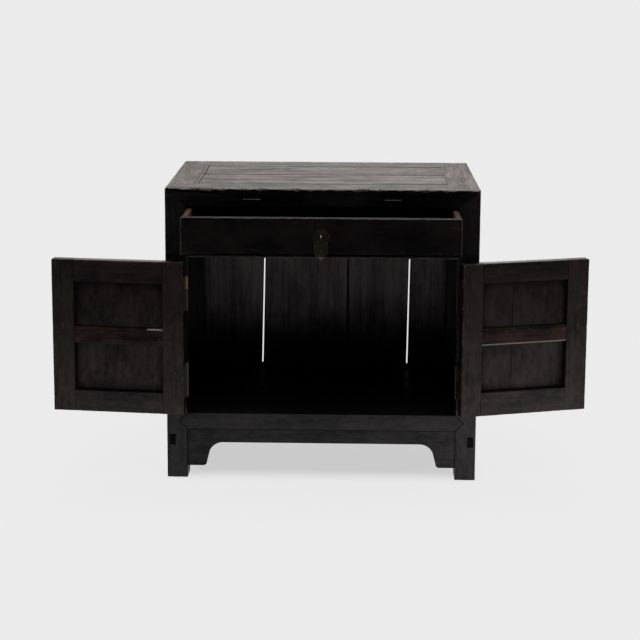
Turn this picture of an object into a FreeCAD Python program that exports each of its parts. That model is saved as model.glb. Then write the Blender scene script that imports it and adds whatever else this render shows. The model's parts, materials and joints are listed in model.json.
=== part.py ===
import FreeCAD, Part
import math
import os

# A low chest on four post feet: one drawer over a cupboard with two doors.
# Sizes are in millimetres. X runs to the right, Y from front to back and Z up.
# The origin is on the floor, at the centre of the four feet.
# The pieces are saved as photographed: doors folded back past flat, drawer part of the way out.

V = FreeCAD.Vector

# Overall size
WIDTH = 740.0
DEPTH = 500.0
HEIGHT = 705.0

# Pose that is saved: how far each door, folded back, stays clear of the outer corner of its post
LEFT_DOOR_CLEARANCE = 10.5
RIGHT_DOOR_CLEARANCE = 1.5
DRAWER_OUT = 145.0

# Posts
POST_WIDTH = 49.0
POST_DEPTH = 60.0

# Heights of the rails, from the top down and from the floor up
TOP_RAIL_HEIGHT = 42.5
DRAWER_OPENING = 93.0
DIVIDER_HEIGHT = 30.0
BOTTOM_RAIL_BASE = 120.5
BOTTOM_RAIL_HEIGHT = 40.5
SIDE_RAIL_BASE = 74.5
SIDE_RAIL_HEIGHT = 40.0
REAR_RAIL_BASE = 128.0
REAR_RAIL_HEIGHT = 40.0

# Thickness of the rails, and how their ends are let into the posts
FRONT_RAIL_DEPTH = 40.0
SIDE_RAIL_THICKNESS = 26.0
REAR_RAIL_THICKNESS = 30.0
FRONT_LAP = 10.0
SIDE_LAP = 6.0
RAIL_TENON_LENGTH = 34.0
RAIL_TENON_THICKNESS = 12.0
RAIL_TENON_SHOULDER = 6.0
SIDE_TENON_THICKNESS = 14.0
SIDE_TENON_HEIGHT = 25.0
REAR_TENON_HEIGHT = 22.0
MORTISE_ROOM = 1.0

# Top frame: the end rails reach this far in past the posts
TOP_END_REACH = 23.0
CORNER_TENON_OFFSET = 4.0
CORNER_TENON_WIDTH = 12.0
CORNER_TENON_HEIGHT = 14.0
CORNER_TENON_BASE = 11.0
CORNER_TENON_STOP = 30.0
POST_TENON_SIZE = 12.0
POST_TENON_COVER = 10.0
LONG_TENON_FROM_SIDE = 26.0
LONG_TENON_FROM_FACE = 8.0
END_TENON_FROM_SIDE = 8.0
END_TENON_FROM_FACE = 34.0

# Boards held in grooves
TONGUE_THICKNESS = 6.0
TONGUE_LENGTH = 7.0
GROOVE_DEPTH = 8.0
EDGE_GAP = 0.5
BOARD_GAP = 0.6

# Top panel and the battens dovetailed under it
TOP_BOARD_THICKNESS = 14.0
TOP_BOARD_DROP = 1.0
TOP_TONGUE_DROP = 4.0
TOP_BATTEN_X = 165.0
TOP_BATTEN_WIDTH = 40.0
TOP_BATTEN_HEIGHT = 16.0
TOP_BATTEN_TENON_HEIGHT = 8.0
TOP_BATTEN_TENON_RISE = 4.0
DOVETAIL_NECK = 18.0
DOVETAIL_HEAD = 24.0
DOVETAIL_HEIGHT = 5.0

# Side panels, back boards and floor
SIDE_PANEL_SET_BACK = 8.0
SIDE_PANEL_THICKNESS = 10.0
SIDE_JOINT_Y = -30.0
BACK_BOARD_SET_IN = 26.0
BACK_BOARD_THICKNESS = 12.0
FLOOR_THICKNESS = 14.0
FLOOR_DROP = 2.5
FLOOR_BOARD_COUNT = 3
FLOOR_TONGUE_DROP = 4.0
FLOOR_BATTEN_X = 230.0
FLOOR_BATTEN_WIDTH = 30.0
FLOOR_BATTEN_TENON_HEIGHT = 8.0
FLOOR_BATTEN_TENON_LENGTH = 15.0
FLOOR_BATTEN_TENON_DROP = 4.0

# Joints of the back boards: place above the rear rail, lean to the right per unit of height, gap
BACK_JOINTS = [
    (-164.5, 0.020, 3.5),
    (61.0, 0.0, 0.0),
    (219.0, 0.013, 3.5),
]

# Apron under the bottom rail, with a bracket at each end
APRON_SET_BACK = 3.5
APRON_THICKNESS = 18.0
APRON_EDGE_Z = 87.0
BRACKET_FOOT_Z = 29.0
BRACKET_WIDTH = 37.0
BRACKET_TOE = 9.0
BRACKET_LEAN = 7.0
BRACKET_NECK_Z = 66.0
BRACKET_HOLLOW = 32.0
APRON_TONGUE_SET_BACK = 6.5
APRON_TONGUE_MARGIN = 6.0

# Drawer runners, guides and stops
RUNNER_REACH = 30.0
RUNNER_HEIGHT = 24.0
RUNNER_TENON_LENGTH = 20.0
RUNNER_TENON_WIDTH = 14.0
RUNNER_TENON_INSET = 8.0
GUIDE_HEIGHT = 30.0
STOP_WIDTH = 20.0
STOP_LENGTH = 12.0
STOP_HEIGHT = 18.0
STOP_GAP = 0.3

# Drawer
DRAWER_SIDE_GAP = 2.0
DRAWER_BASE_GAP = 2.2
DRAWER_TOP_GAP = 3.8
DRAWER_RUNNING_GAP = 0.3
DRAWER_LENGTH = 430.0
DRAWER_FRONT_THICKNESS = 20.0
DRAWER_SIDE_THICKNESS = 13.0
DRAWER_SIDE_DROP = 3.0
DRAWER_BACK_THICKNESS = 12.0
DRAWER_BACK_INSET = 8.0
DRAWER_BACK_DROP = 4.0
DRAWER_BOTTOM_THICKNESS = 6.0
DRAWER_BOTTOM_RISE = 7.0
DRAWER_GROOVE_DEPTH = 5.0
DRAWER_FRONT_LAP = 6.0
TAIL_COUNT = 3
TAIL_FLARE = 2.5
TAIL_GAP = 9.0
TAIL_MARGIN = 6.0

# Doors
DOOR_THICKNESS = 24.0
DOOR_SET_BACK = 3.0
DOOR_HINGE_GAP = 2.0
DOOR_MEETING_GAP = 3.0
DOOR_BASE_GAP = 5.0
DOOR_TOP_GAP = 5.0
HINGE_STILE_WIDTH = 50.0
FREE_STILE_WIDTH = 53.0
LEFT_DOOR_TOP_RAIL_HEIGHT = 53.0
LEFT_DOOR_BOTTOM_RAIL_HEIGHT = 51.0
RIGHT_DOOR_TOP_RAIL_HEIGHT = 47.5
RIGHT_DOOR_BOTTOM_RAIL_HEIGHT = 57.0
DOOR_TENON_LENGTH = 35.0
DOOR_TENON_THICKNESS = 8.0
DOOR_TENON_SHOULDER = 9.0
DOOR_PANEL_THICKNESS = 8.0
DOOR_PANEL_SET_BACK = 3.5
DOOR_PANEL_JOINT = 80.0
LEFT_DOOR_BATTEN_RISE = 1.0
RIGHT_DOOR_BATTEN_RISE = 6.5
DOOR_BATTEN_HEIGHT = 40.0
DOOR_BATTEN_THICKNESS = 11.0
DOOR_BATTEN_BEVEL = 4.0
DOOR_BATTEN_TENON_LENGTH = 8.0
DOOR_BATTEN_TENON_THICKNESS = 6.0
DOOR_BATTEN_TENON_SHOULDER = 6.0
DOOR_DOVETAIL_NECK = 10.0
DOOR_DOVETAIL_HEAD = 15.0
DOOR_DOVETAIL_DEPTH = 2.5

# Hinges: a leaf and a barrel half on each side, turning on a pin that stands proud of the post
HINGE_INSET = 79.0
HINGE_HEIGHT = 82.0
LEAF_THICKNESS = 1.2
LEAF_DEPTH = 20.0
BARREL_RADIUS = 4.0
BARREL_GAP = 0.3
PIN_PROUD = 6.5
PIN_RADIUS = 2.0
PIN_CLEARANCE = 0.05
PIN_END_MARGIN = 3.0

# Pulls: a domed plate, a cotter pin with a round eye and a hanging pendant
DRAWER_PULL_RISE = 0.5
DOOR_PULL_RISE = 24.0
PLATE_RADIUS = 19.0
PLATE_RIM_WIDTH = 2.5
PLATE_RIM_HEIGHT = 2.6
PLATE_THICKNESS = 1.4
DOME_RADIUS = 13.0
DOME_HEIGHT = 4.0
EYE_RADIUS = 5.0
EYE_WIRE_RADIUS = 1.3
SHANK_SIZE = 2.6
SHANK_PLAY = 0.3
CLINCH_LENGTH = 7.0
CLINCH_THICKNESS = 1.3
PENDANT_THICKNESS = 1.6
PENDANT_HOLE_RADIUS = 2.0
PENDANT_HANG = 0.4
PENDANT_LUG_RADIUS = 4.6
PENDANT_SHOULDER_DROP = 13.0
PENDANT_WIDTH = 33.0
PENDANT_WAIST_DROP = 31.0
PENDANT_WAIST_WIDTH = 30.0
PENDANT_TIP_DROP = 44.0
PENDANT_TIP_SWELL = 1.8

# Places that follow from the sizes above
FRONT = -DEPTH / 2
BACK = DEPTH / 2
RIGHT = WIDTH / 2
POST_X = RIGHT - POST_WIDTH
POST_Y = BACK - POST_DEPTH
TOP_UNDERSIDE = HEIGHT - TOP_RAIL_HEIGHT
DIVIDER_TOP = TOP_UNDERSIDE - DRAWER_OPENING
DIVIDER_BASE = DIVIDER_TOP - DIVIDER_HEIGHT
BOTTOM_RAIL_TOP = BOTTOM_RAIL_BASE + BOTTOM_RAIL_HEIGHT
SIDE_RAIL_TOP = SIDE_RAIL_BASE + SIDE_RAIL_HEIGHT
REAR_RAIL_TOP = REAR_RAIL_BASE + REAR_RAIL_HEIGHT
FRONT_RAIL_BACK = FRONT + FRONT_RAIL_DEPTH

# The end rails' width sets the long rails' width, so that a corner's mitres meet on one line
TOP_END_WIDTH = POST_WIDTH + TOP_END_REACH
TOP_LONG_WIDTH = TOP_END_WIDTH * POST_DEPTH / POST_WIDTH
TOP_PANEL_X = RIGHT - TOP_END_WIDTH
TOP_PANEL_Y = BACK - TOP_LONG_WIDTH
TOP_BOARD_TOP = HEIGHT - TOP_BOARD_DROP
TOP_BOARD_BASE = TOP_BOARD_TOP - TOP_BOARD_THICKNESS
TOP_TONGUE_TOP = TOP_BOARD_TOP - TOP_TONGUE_DROP
TOP_TONGUE_BASE = TOP_TONGUE_TOP - TONGUE_THICKNESS

SIDE_PANEL_OUTER = RIGHT - SIDE_PANEL_SET_BACK
SIDE_PANEL_INNER = SIDE_PANEL_OUTER - SIDE_PANEL_THICKNESS
BACK_BOARD_OUTER = BACK - BACK_BOARD_SET_IN
BACK_BOARD_INNER = BACK_BOARD_OUTER - BACK_BOARD_THICKNESS
REAR_RAIL_FRONT = (BACK_BOARD_INNER + BACK_BOARD_OUTER - REAR_RAIL_THICKNESS) / 2
REAR_RAIL_BACK = REAR_RAIL_FRONT + REAR_RAIL_THICKNESS
FLOOR_TOP = BOTTOM_RAIL_TOP - FLOOR_DROP
FLOOR_BASE = FLOOR_TOP - FLOOR_THICKNESS
FLOOR_TONGUE_TOP = FLOOR_TOP - FLOOR_TONGUE_DROP
FLOOR_TONGUE_BASE = FLOOR_TONGUE_TOP - TONGUE_THICKNESS

DRAWER_X = POST_X - DRAWER_SIDE_GAP
DRAWER_BASE = DIVIDER_TOP + DRAWER_BASE_GAP
DRAWER_TOP = TOP_UNDERSIDE - DRAWER_TOP_GAP
DRAWER_FRONT_BACK = FRONT + DRAWER_FRONT_THICKNESS
DRAWER_REAR = FRONT + DRAWER_LENGTH
DRAWER_SIDE_INNER = DRAWER_X - DRAWER_SIDE_THICKNESS
DRAWER_SIDE_BASE = DIVIDER_TOP + DRAWER_RUNNING_GAP
DRAWER_SIDE_TOP = DRAWER_TOP - DRAWER_SIDE_DROP
DRAWER_BOTTOM_BASE = DRAWER_BASE + DRAWER_BOTTOM_RISE
DRAWER_BOTTOM_TOP = DRAWER_BOTTOM_BASE + DRAWER_BOTTOM_THICKNESS
DRAWER_BACK_REAR = DRAWER_REAR - DRAWER_BACK_INSET
DRAWER_BACK_FRONT = DRAWER_BACK_REAR - DRAWER_BACK_THICKNESS

PIN_X = POST_X - DOOR_HINGE_GAP / 2
PIN_Y = FRONT - PIN_PROUD
DOOR_HINGE_X = POST_X - DOOR_HINGE_GAP
DOOR_FREE_X = DOOR_MEETING_GAP / 2
DOOR_FACE = FRONT + DOOR_SET_BACK
DOOR_INSIDE = DOOR_FACE + DOOR_THICKNESS
DOOR_BASE = BOTTOM_RAIL_TOP + DOOR_BASE_GAP
DOOR_TOP = DIVIDER_BASE - DOOR_TOP_GAP
DOOR_MIDDLE = (DOOR_BASE + DOOR_TOP) / 2
DOOR_OPENING_HINGE_X = DOOR_HINGE_X - HINGE_STILE_WIDTH
DOOR_OPENING_FREE_X = DOOR_FREE_X + FREE_STILE_WIDTH
DOOR_PANEL_FACE = DOOR_FACE + DOOR_PANEL_SET_BACK
DOOR_PANEL_INSIDE = DOOR_PANEL_FACE + DOOR_PANEL_THICKNESS
DOOR_PULL_X = DOOR_FREE_X + FREE_STILE_WIDTH / 2
HINGE_HEIGHTS = [DOOR_BASE + HINGE_INSET, DOOR_TOP - HINGE_INSET]

# The eye of a cotter pin rests on the dome of its plate
EYE_STAND_OFF = DOME_HEIGHT + EYE_RADIUS + EYE_WIRE_RADIUS


def box(x0, x1, y0, y1, z0, z1):
    return Part.makeBox(x1 - x0, y1 - y0, z1 - z0, V(x0, y0, z0))


def prism(corners, sweep):
    """A flat outline of straight edges, swept along a vector."""
    outline = Part.makePolygon(corners + corners[:1])
    return Part.Face(outline).extrude(sweep)


def plan_prism(points, z0, z1):
    return prism([V(x, y, z0) for x, y in points], V(0, 0, z1 - z0))


def front_prism(points, y0, y1):
    return prism([V(x, y0, z) for x, z in points], V(0, y1 - y0, 0))


def side_prism(points, x0, x1):
    return prism([V(x0, y, z) for y, z in points], V(x1 - x0, 0, 0))


def line(start, end):
    return Part.LineSegment(start, end).toShape()


def tangent_arc(start, direction, end):
    """The arc that leaves start along a unit direction and stops at end."""
    chord = end - start
    aside = chord - direction * chord.dot(direction)
    radius = chord.dot(chord) / (2 * aside.Length)
    centre = start + aside * (radius / aside.Length)
    outward = (start - centre) + (end - centre)
    middle = centre + outward * (radius / outward.Length)
    return Part.Arc(start, middle, end).toShape()


def flip_x(shape):
    return shape.mirror(V(0, 0, 0), V(1, 0, 0))


def flip_y(shape):
    return shape.mirror(V(0, 0, 0), V(0, 1, 0))


def join(first, *others):
    return first.multiFuse(list(others)).removeSplitter()


def both_sides(shape):
    return [shape, flip_x(shape)]


def both_ends(shape):
    return [shape, flip_y(shape)]


# Rails between the posts. Each comes with the sockets that it needs in the right-hand posts.

def pointed_rail(base, top):
    """A front rail whose face laps into each post with a pointed shoulder, over a tenon."""
    middle = (base + top) / 2
    point_reach = (top - base) / 2
    tenon_front = FRONT + FRONT_LAP
    tenon_back = tenon_front + RAIL_TENON_THICKNESS
    tenon_base = base + RAIL_TENON_SHOULDER
    tenon_top = top - RAIL_TENON_SHOULDER
    tenon_end = POST_X + RAIL_TENON_LENGTH
    outline = [(POST_X, base), (POST_X + point_reach, middle), (POST_X, top)]
    body = box(-POST_X, POST_X, FRONT, FRONT_RAIL_BACK, base, top)
    point = front_prism(outline, FRONT, tenon_front)
    tenon = box(POST_X, tenon_end, tenon_front, tenon_back, tenon_base, tenon_top)
    mortise = box(POST_X, tenon_end + MORTISE_ROOM, tenon_front, tenon_back, tenon_base, tenon_top)
    rail = join(body, *both_sides(point), *both_sides(tenon))
    return rail, [point, mortise]


def side_rail():
    """The right-hand side rail: pointed shoulders outside, tenons that pass right through the posts."""
    base = SIDE_RAIL_BASE
    top = SIDE_RAIL_TOP
    middle = (base + top) / 2
    point_reach = SIDE_RAIL_HEIGHT / 2
    lap = RIGHT - SIDE_LAP
    tenon_base = middle - SIDE_TENON_HEIGHT / 2
    tenon_top = middle + SIDE_TENON_HEIGHT / 2
    outline = [(-POST_Y, base), (-POST_Y - point_reach, middle), (-POST_Y, top)]
    body = box(RIGHT - SIDE_RAIL_THICKNESS, RIGHT, -POST_Y, POST_Y, base, top)
    point = side_prism(outline, lap, RIGHT)
    tenon = box(lap - SIDE_TENON_THICKNESS, lap, FRONT, -POST_Y, tenon_base, tenon_top)
    groove = box(SIDE_PANEL_INNER, SIDE_PANEL_OUTER, -POST_Y, POST_Y, top - GROOVE_DEPTH, top)
    rail = join(body, *both_ends(point), *both_ends(tenon)).cut(groove)
    return rail, [point, tenon]


def rear_rail():
    """The bottom rear rail, with plain tenons and a groove for the back boards."""
    middle = (REAR_RAIL_BASE + REAR_RAIL_TOP - GROOVE_DEPTH) / 2
    tenon_base = middle - REAR_TENON_HEIGHT / 2
    tenon_top = middle + REAR_TENON_HEIGHT / 2
    tenon_end = POST_X + RAIL_TENON_LENGTH
    y0 = BACK_BOARD_INNER
    y1 = y0 + RAIL_TENON_THICKNESS
    body = box(-POST_X, POST_X, REAR_RAIL_FRONT, REAR_RAIL_BACK, REAR_RAIL_BASE, REAR_RAIL_TOP)
    tenon = box(POST_X, tenon_end, y0, y1, tenon_base, tenon_top)
    mortise = box(POST_X, tenon_end + MORTISE_ROOM, y0, y1, tenon_base, tenon_top)
    groove_base = REAR_RAIL_TOP - GROOVE_DEPTH
    groove = box(-POST_X, POST_X, BACK_BOARD_INNER, BACK_BOARD_OUTER, groove_base, REAR_RAIL_TOP)
    rail = join(body, *both_sides(tenon)).cut(groove)
    return rail, [mortise]


# Top corners, where a post and two rails meet in mitres on all three outer faces

def post_blank():
    """The front right post up to its mitres, with a hidden tenon for each of the two rails."""
    blank = box(POST_X, RIGHT, FRONT, -POST_Y, 0, HEIGHT)
    front_mitre = [(POST_X, TOP_UNDERSIDE), (RIGHT, HEIGHT), (POST_X, HEIGHT)]
    side_mitre = [(-POST_Y, TOP_UNDERSIDE), (FRONT, HEIGHT), (-POST_Y, HEIGHT)]
    above_front = front_prism(front_mitre, FRONT, -POST_Y)
    above_side = side_prism(side_mitre, POST_X, RIGHT)
    tenons = []
    for from_side, from_face in (
        (LONG_TENON_FROM_SIDE, LONG_TENON_FROM_FACE),
        (END_TENON_FROM_SIDE, END_TENON_FROM_FACE),
    ):
        x1 = RIGHT - from_side
        y0 = FRONT + from_face
        top = HEIGHT - POST_TENON_COVER
        tenons.append(box(x1 - POST_TENON_SIZE, x1, y0, y0 + POST_TENON_SIZE, TOP_UNDERSIDE, top))
    return join(blank.cut([above_front, above_side]), *tenons)


def corner_tenon():
    """The hidden tenon that runs from the right end rail into the front rail, behind the mitre."""
    x1 = RIGHT - POST_WIDTH - CORNER_TENON_OFFSET
    x0 = x1 - CORNER_TENON_WIDTH
    y1 = -TOP_PANEL_Y - EDGE_GAP
    z0 = TOP_UNDERSIDE + CORNER_TENON_BASE
    return box(x0, x1, FRONT + CORNER_TENON_STOP, y1, z0, z0 + CORNER_TENON_HEIGHT)


def top_panel_groove():
    reach_x = TOP_PANEL_X + GROOVE_DEPTH
    reach_y = TOP_PANEL_Y + GROOVE_DEPTH
    return box(-reach_x, reach_x, -reach_y, reach_y, TOP_TONGUE_BASE, TOP_TONGUE_TOP)


def top_batten(x):
    """A batten under the top boards: a dovetail ridge above, tenons through both long rails."""
    half = TOP_BATTEN_WIDTH / 2
    base = TOP_BOARD_BASE - TOP_BATTEN_HEIGHT
    tenon_base = base + TOP_BATTEN_TENON_RISE
    tenon_top = tenon_base + TOP_BATTEN_TENON_HEIGHT
    ridge_top = TOP_BOARD_BASE + DOVETAIL_HEIGHT
    ridge = [
        (x - DOVETAIL_NECK / 2, TOP_BOARD_BASE),
        (x + DOVETAIL_NECK / 2, TOP_BOARD_BASE),
        (x + DOVETAIL_HEAD / 2, ridge_top),
        (x - DOVETAIL_HEAD / 2, ridge_top),
    ]
    body = box(x - half, x + half, -TOP_PANEL_Y, TOP_PANEL_Y, base, TOP_BOARD_BASE)
    tenon = box(x - half, x + half, FRONT, -TOP_PANEL_Y, tenon_base, tenon_top)
    return join(body, front_prism(ridge, -TOP_PANEL_Y, TOP_PANEL_Y), *both_ends(tenon))


def top_board(y0, y1, tongue_y0, tongue_y1, battens):
    body_x = TOP_PANEL_X - EDGE_GAP
    tongue_x = TOP_PANEL_X + TONGUE_LENGTH
    body = box(-body_x, body_x, y0, y1, TOP_BOARD_BASE, TOP_BOARD_TOP)
    tongue = box(-tongue_x, tongue_x, tongue_y0, tongue_y1, TOP_TONGUE_BASE, TOP_TONGUE_TOP)
    return join(body, tongue).cut(battens)


def long_rail(posts, corner_tenons, battens):
    """The top front rail: mitred ends cut over the posts, mortised for tenons and battens."""
    outline = [(-RIGHT, FRONT), (RIGHT, FRONT), (TOP_PANEL_X, -TOP_PANEL_Y), (-TOP_PANEL_X, -TOP_PANEL_Y)]
    blank = plan_prism(outline, TOP_UNDERSIDE, HEIGHT)
    return blank.cut(posts + corner_tenons + battens + [top_panel_groove()])


def end_rail(posts, side_groove):
    """The top right rail, with its tenons into the front and rear rails."""
    outline = [(RIGHT, FRONT), (RIGHT, BACK), (TOP_PANEL_X, TOP_PANEL_Y), (TOP_PANEL_X, -TOP_PANEL_Y)]
    blank = plan_prism(outline, TOP_UNDERSIDE, HEIGHT)
    shaped = blank.cut(posts + [top_panel_groove(), side_groove])
    return join(shaped, *both_ends(corner_tenon()))


# Boards of the sides, the back and the floor

def side_panel():
    """The two boards of the right-hand side, loose in their grooves."""
    base = SIDE_RAIL_TOP - TONGUE_LENGTH
    top = TOP_UNDERSIDE + TONGUE_LENGTH
    reach = POST_Y + TONGUE_LENGTH
    joint = SIDE_JOINT_Y
    front_board = box(SIDE_PANEL_INNER, SIDE_PANEL_OUTER, -reach, joint - BOARD_GAP / 2, base, top)
    rear_board = box(SIDE_PANEL_INNER, SIDE_PANEL_OUTER, joint + BOARD_GAP / 2, reach, base, top)
    return [front_board, rear_board]


def side_post_groove():
    base = SIDE_RAIL_TOP - GROOVE_DEPTH
    top = TOP_UNDERSIDE + GROOVE_DEPTH
    return box(SIDE_PANEL_INNER, SIDE_PANEL_OUTER, -POST_Y - GROOVE_DEPTH, -POST_Y, base, top)


def side_rail_groove():
    reach = POST_Y + GROOVE_DEPTH
    top = TOP_UNDERSIDE + GROOVE_DEPTH
    return box(SIDE_PANEL_INNER, SIDE_PANEL_OUTER, -reach, reach, TOP_UNDERSIDE, top)


def back_groove():
    reach = POST_X + GROOVE_DEPTH
    base = REAR_RAIL_TOP - GROOVE_DEPTH
    top = TOP_UNDERSIDE + GROOVE_DEPTH
    return box(-reach, reach, BACK_BOARD_INNER, BACK_BOARD_OUTER, base, top)


def back_boards():
    """Upright boards whose shrunk joints lean a little and leave open slits."""
    base = REAR_RAIL_TOP - TONGUE_LENGTH
    top = TOP_UNDERSIDE + TONGUE_LENGTH
    reach = POST_X + TONGUE_LENGTH
    edges = [(-reach, 0.0, 0.0)] + BACK_JOINTS + [(reach, 0.0, 0.0)]
    boards = []
    for (left, left_lean, left_gap), (right, right_lean, right_gap) in zip(edges, edges[1:]):
        rise = top - base
        x0 = left + left_gap / 2
        x1 = right - right_gap / 2
        outline = [(x0, base), (x1, base), (x1 + right_lean * rise, top), (x0 + left_lean * rise, top)]
        boards.append(front_prism(outline, BACK_BOARD_INNER, BACK_BOARD_OUTER))
    return boards


def floor_boards():
    """Boards laid from side to side, notched round the posts and tongued into front and rear rails."""
    wide_x = SIDE_PANEL_INNER - EDGE_GAP
    narrow_x = POST_X - EDGE_GAP
    free_y = POST_Y - EDGE_GAP
    tongue_y0 = FRONT_RAIL_BACK - TONGUE_LENGTH
    tongue_y1 = REAR_RAIL_FRONT + TONGUE_LENGTH
    between = box(-wide_x, wide_x, -free_y, free_y, FLOOR_BASE, FLOOR_TOP)
    between_posts = box(-narrow_x, narrow_x, FRONT_RAIL_BACK, REAR_RAIL_FRONT, FLOOR_BASE, FLOOR_TOP)
    tongues = box(-narrow_x, narrow_x, tongue_y0, tongue_y1, FLOOR_TONGUE_BASE, FLOOR_TONGUE_TOP)
    whole = join(between, between_posts, tongues)
    step = (REAR_RAIL_FRONT - FRONT_RAIL_BACK) / FLOOR_BOARD_COUNT
    boards = []
    for number in range(FLOOR_BOARD_COUNT):
        y0 = FRONT_RAIL_BACK + number * step + BOARD_GAP / 2
        y1 = FRONT_RAIL_BACK + (number + 1) * step - BOARD_GAP / 2
        if number == 0:
            y0 = tongue_y0
        if number == FLOOR_BOARD_COUNT - 1:
            y1 = tongue_y1
        boards.append(whole.common(box(-RIGHT, RIGHT, y0, y1, 0, HEIGHT)))
    return boards


def floor_groove():
    y0 = FRONT_RAIL_BACK - GROOVE_DEPTH
    y1 = REAR_RAIL_FRONT + GROOVE_DEPTH
    return box(-POST_X, POST_X, y0, y1, FLOOR_TONGUE_BASE, FLOOR_TONGUE_TOP)


def floor_batten(room):
    """The right-hand batten that carries the floor; room lengthens its tenons to make the mortises."""
    x0 = FLOOR_BATTEN_X - FLOOR_BATTEN_WIDTH / 2
    x1 = FLOOR_BATTEN_X + FLOOR_BATTEN_WIDTH / 2
    reach = FLOOR_BATTEN_TENON_LENGTH + room
    tenon_top = FLOOR_BASE - FLOOR_BATTEN_TENON_DROP
    tenon_base = tenon_top - FLOOR_BATTEN_TENON_HEIGHT
    body = box(x0, x1, FRONT_RAIL_BACK, REAR_RAIL_FRONT, BOTTOM_RAIL_BASE, FLOOR_BASE)
    tenons = box(x0, x1, FRONT_RAIL_BACK - reach, REAR_RAIL_FRONT + reach, tenon_base, tenon_top)
    return join(body, tenons)


def apron():
    """The board under the bottom rail: a long flat edge that hollows down into a bracket at each post."""
    toe_x = POST_X - BRACKET_WIDTH
    knee_x = toe_x - BRACKET_TOE
    neck_x = knee_x - BRACKET_LEAN
    flat_x = neck_x - BRACKET_HOLLOW
    y0 = FRONT + APRON_SET_BACK

    def at(x, z):
        return V(x, y0, z)

    def lower_edge(side):
        """Edges from the middle of the flat out to one post."""
        outward = V(side, 0, 0)
        flat_end = at(side * flat_x, APRON_EDGE_Z)
        neck = at(side * neck_x, BRACKET_NECK_Z)
        knee = at(side * knee_x, BRACKET_FOOT_Z + BRACKET_TOE)
        toe = at(side * toe_x, BRACKET_FOOT_Z)
        corner = at(side * POST_X, BRACKET_FOOT_Z)
        return [
            line(at(0, APRON_EDGE_Z), flat_end),
            tangent_arc(flat_end, outward, neck),
            line(neck, knee),
            tangent_arc(toe, -outward, knee),
            line(toe, corner),
            line(corner, at(side * POST_X, BOTTOM_RAIL_BASE)),
        ]

    top = line(at(-POST_X, BOTTOM_RAIL_BASE), at(POST_X, BOTTOM_RAIL_BASE))
    edges = Part.sortEdges(lower_edge(1) + lower_edge(-1) + [top])[0]
    board = Part.Face(Part.Wire(edges)).extrude(V(0, APRON_THICKNESS, 0))
    return join(board, apron_tongue(TONGUE_LENGTH - EDGE_GAP))


def apron_tongue(reach):
    """The tongue round the apron's top and ends, as long as reach."""
    y0 = FRONT + APRON_SET_BACK + APRON_TONGUE_SET_BACK
    y1 = y0 + TONGUE_THICKNESS
    end_base = BRACKET_FOOT_Z + APRON_TONGUE_MARGIN
    end_top = BOTTOM_RAIL_BASE - APRON_TONGUE_MARGIN
    inner_x = POST_X - APRON_TONGUE_MARGIN
    top = box(-inner_x, inner_x, y0, y1, BOTTOM_RAIL_BASE, BOTTOM_RAIL_BASE + reach)
    end = box(POST_X, POST_X + reach, y0, y1, end_base, end_top)
    return Part.makeCompound([top] + both_sides(end))


# Drawer and what it runs on

def drawer_runner(room):
    """The right-hand runner, between the posts; room lengthens its tenons to make the mortises."""
    x0 = POST_X - RUNNER_REACH
    x1 = SIDE_PANEL_INNER - EDGE_GAP
    base = DIVIDER_TOP - RUNNER_HEIGHT
    toe_x = POST_X - EDGE_GAP
    tenon_x0 = POST_X + RUNNER_TENON_INSET
    tenon_x1 = tenon_x0 + RUNNER_TENON_WIDTH
    tenon_base = base + RAIL_TENON_SHOULDER
    tenon_top = DIVIDER_TOP - RAIL_TENON_SHOULDER
    reach = POST_Y + RUNNER_TENON_LENGTH + room
    rear_toe = BACK_BOARD_INNER - EDGE_GAP
    main = box(x0, x1, -POST_Y, POST_Y, base, DIVIDER_TOP)
    toes = box(x0, toe_x, FRONT_RAIL_BACK, rear_toe, base, DIVIDER_TOP)
    tenons = box(tenon_x0, tenon_x1, -reach, reach, tenon_base, tenon_top)
    return join(main, toes, tenons)


def drawer_guide():
    x1 = SIDE_PANEL_INNER - EDGE_GAP
    return box(POST_X, x1, -POST_Y, POST_Y, DIVIDER_TOP, DIVIDER_TOP + GUIDE_HEIGHT)


def drawer_stop():
    x1 = DRAWER_X - EDGE_GAP
    y0 = DRAWER_REAR + STOP_GAP
    return box(x1 - STOP_WIDTH, x1, y0, y0 + STOP_LENGTH, DIVIDER_TOP, DIVIDER_TOP + STOP_HEIGHT)


def drawer_tails():
    """The dovetails at the front end of the right-hand side, in from its outer face."""
    low = DRAWER_BASE + TAIL_MARGIN
    high = DRAWER_SIDE_TOP - TAIL_MARGIN
    pitch = (high - low + TAIL_GAP) / TAIL_COUNT
    tip = FRONT + DRAWER_FRONT_LAP
    tails = []
    for number in range(TAIL_COUNT):
        z0 = low + number * pitch
        z1 = z0 + pitch - TAIL_GAP
        outline = [
            (DRAWER_FRONT_BACK, z0 + TAIL_FLARE),
            (tip, z0),
            (tip, z1),
            (DRAWER_FRONT_BACK, z1 - TAIL_FLARE),
        ]
        tails.append(side_prism(outline, DRAWER_SIDE_INNER, DRAWER_X))
    return tails


def drawer_bottom(reach):
    """The bottom board, and with a longer reach the grooves that take it."""
    x = DRAWER_SIDE_INNER + reach
    return box(-x, x, DRAWER_FRONT_BACK - reach, DRAWER_REAR, DRAWER_BOTTOM_BASE, DRAWER_BOTTOM_TOP)


def drawer_back(reach):
    x = DRAWER_SIDE_INNER + reach
    top = DRAWER_SIDE_TOP - DRAWER_BACK_DROP
    return box(-x, x, DRAWER_BACK_FRONT, DRAWER_BACK_REAR, DRAWER_BOTTOM_TOP, top)


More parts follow.
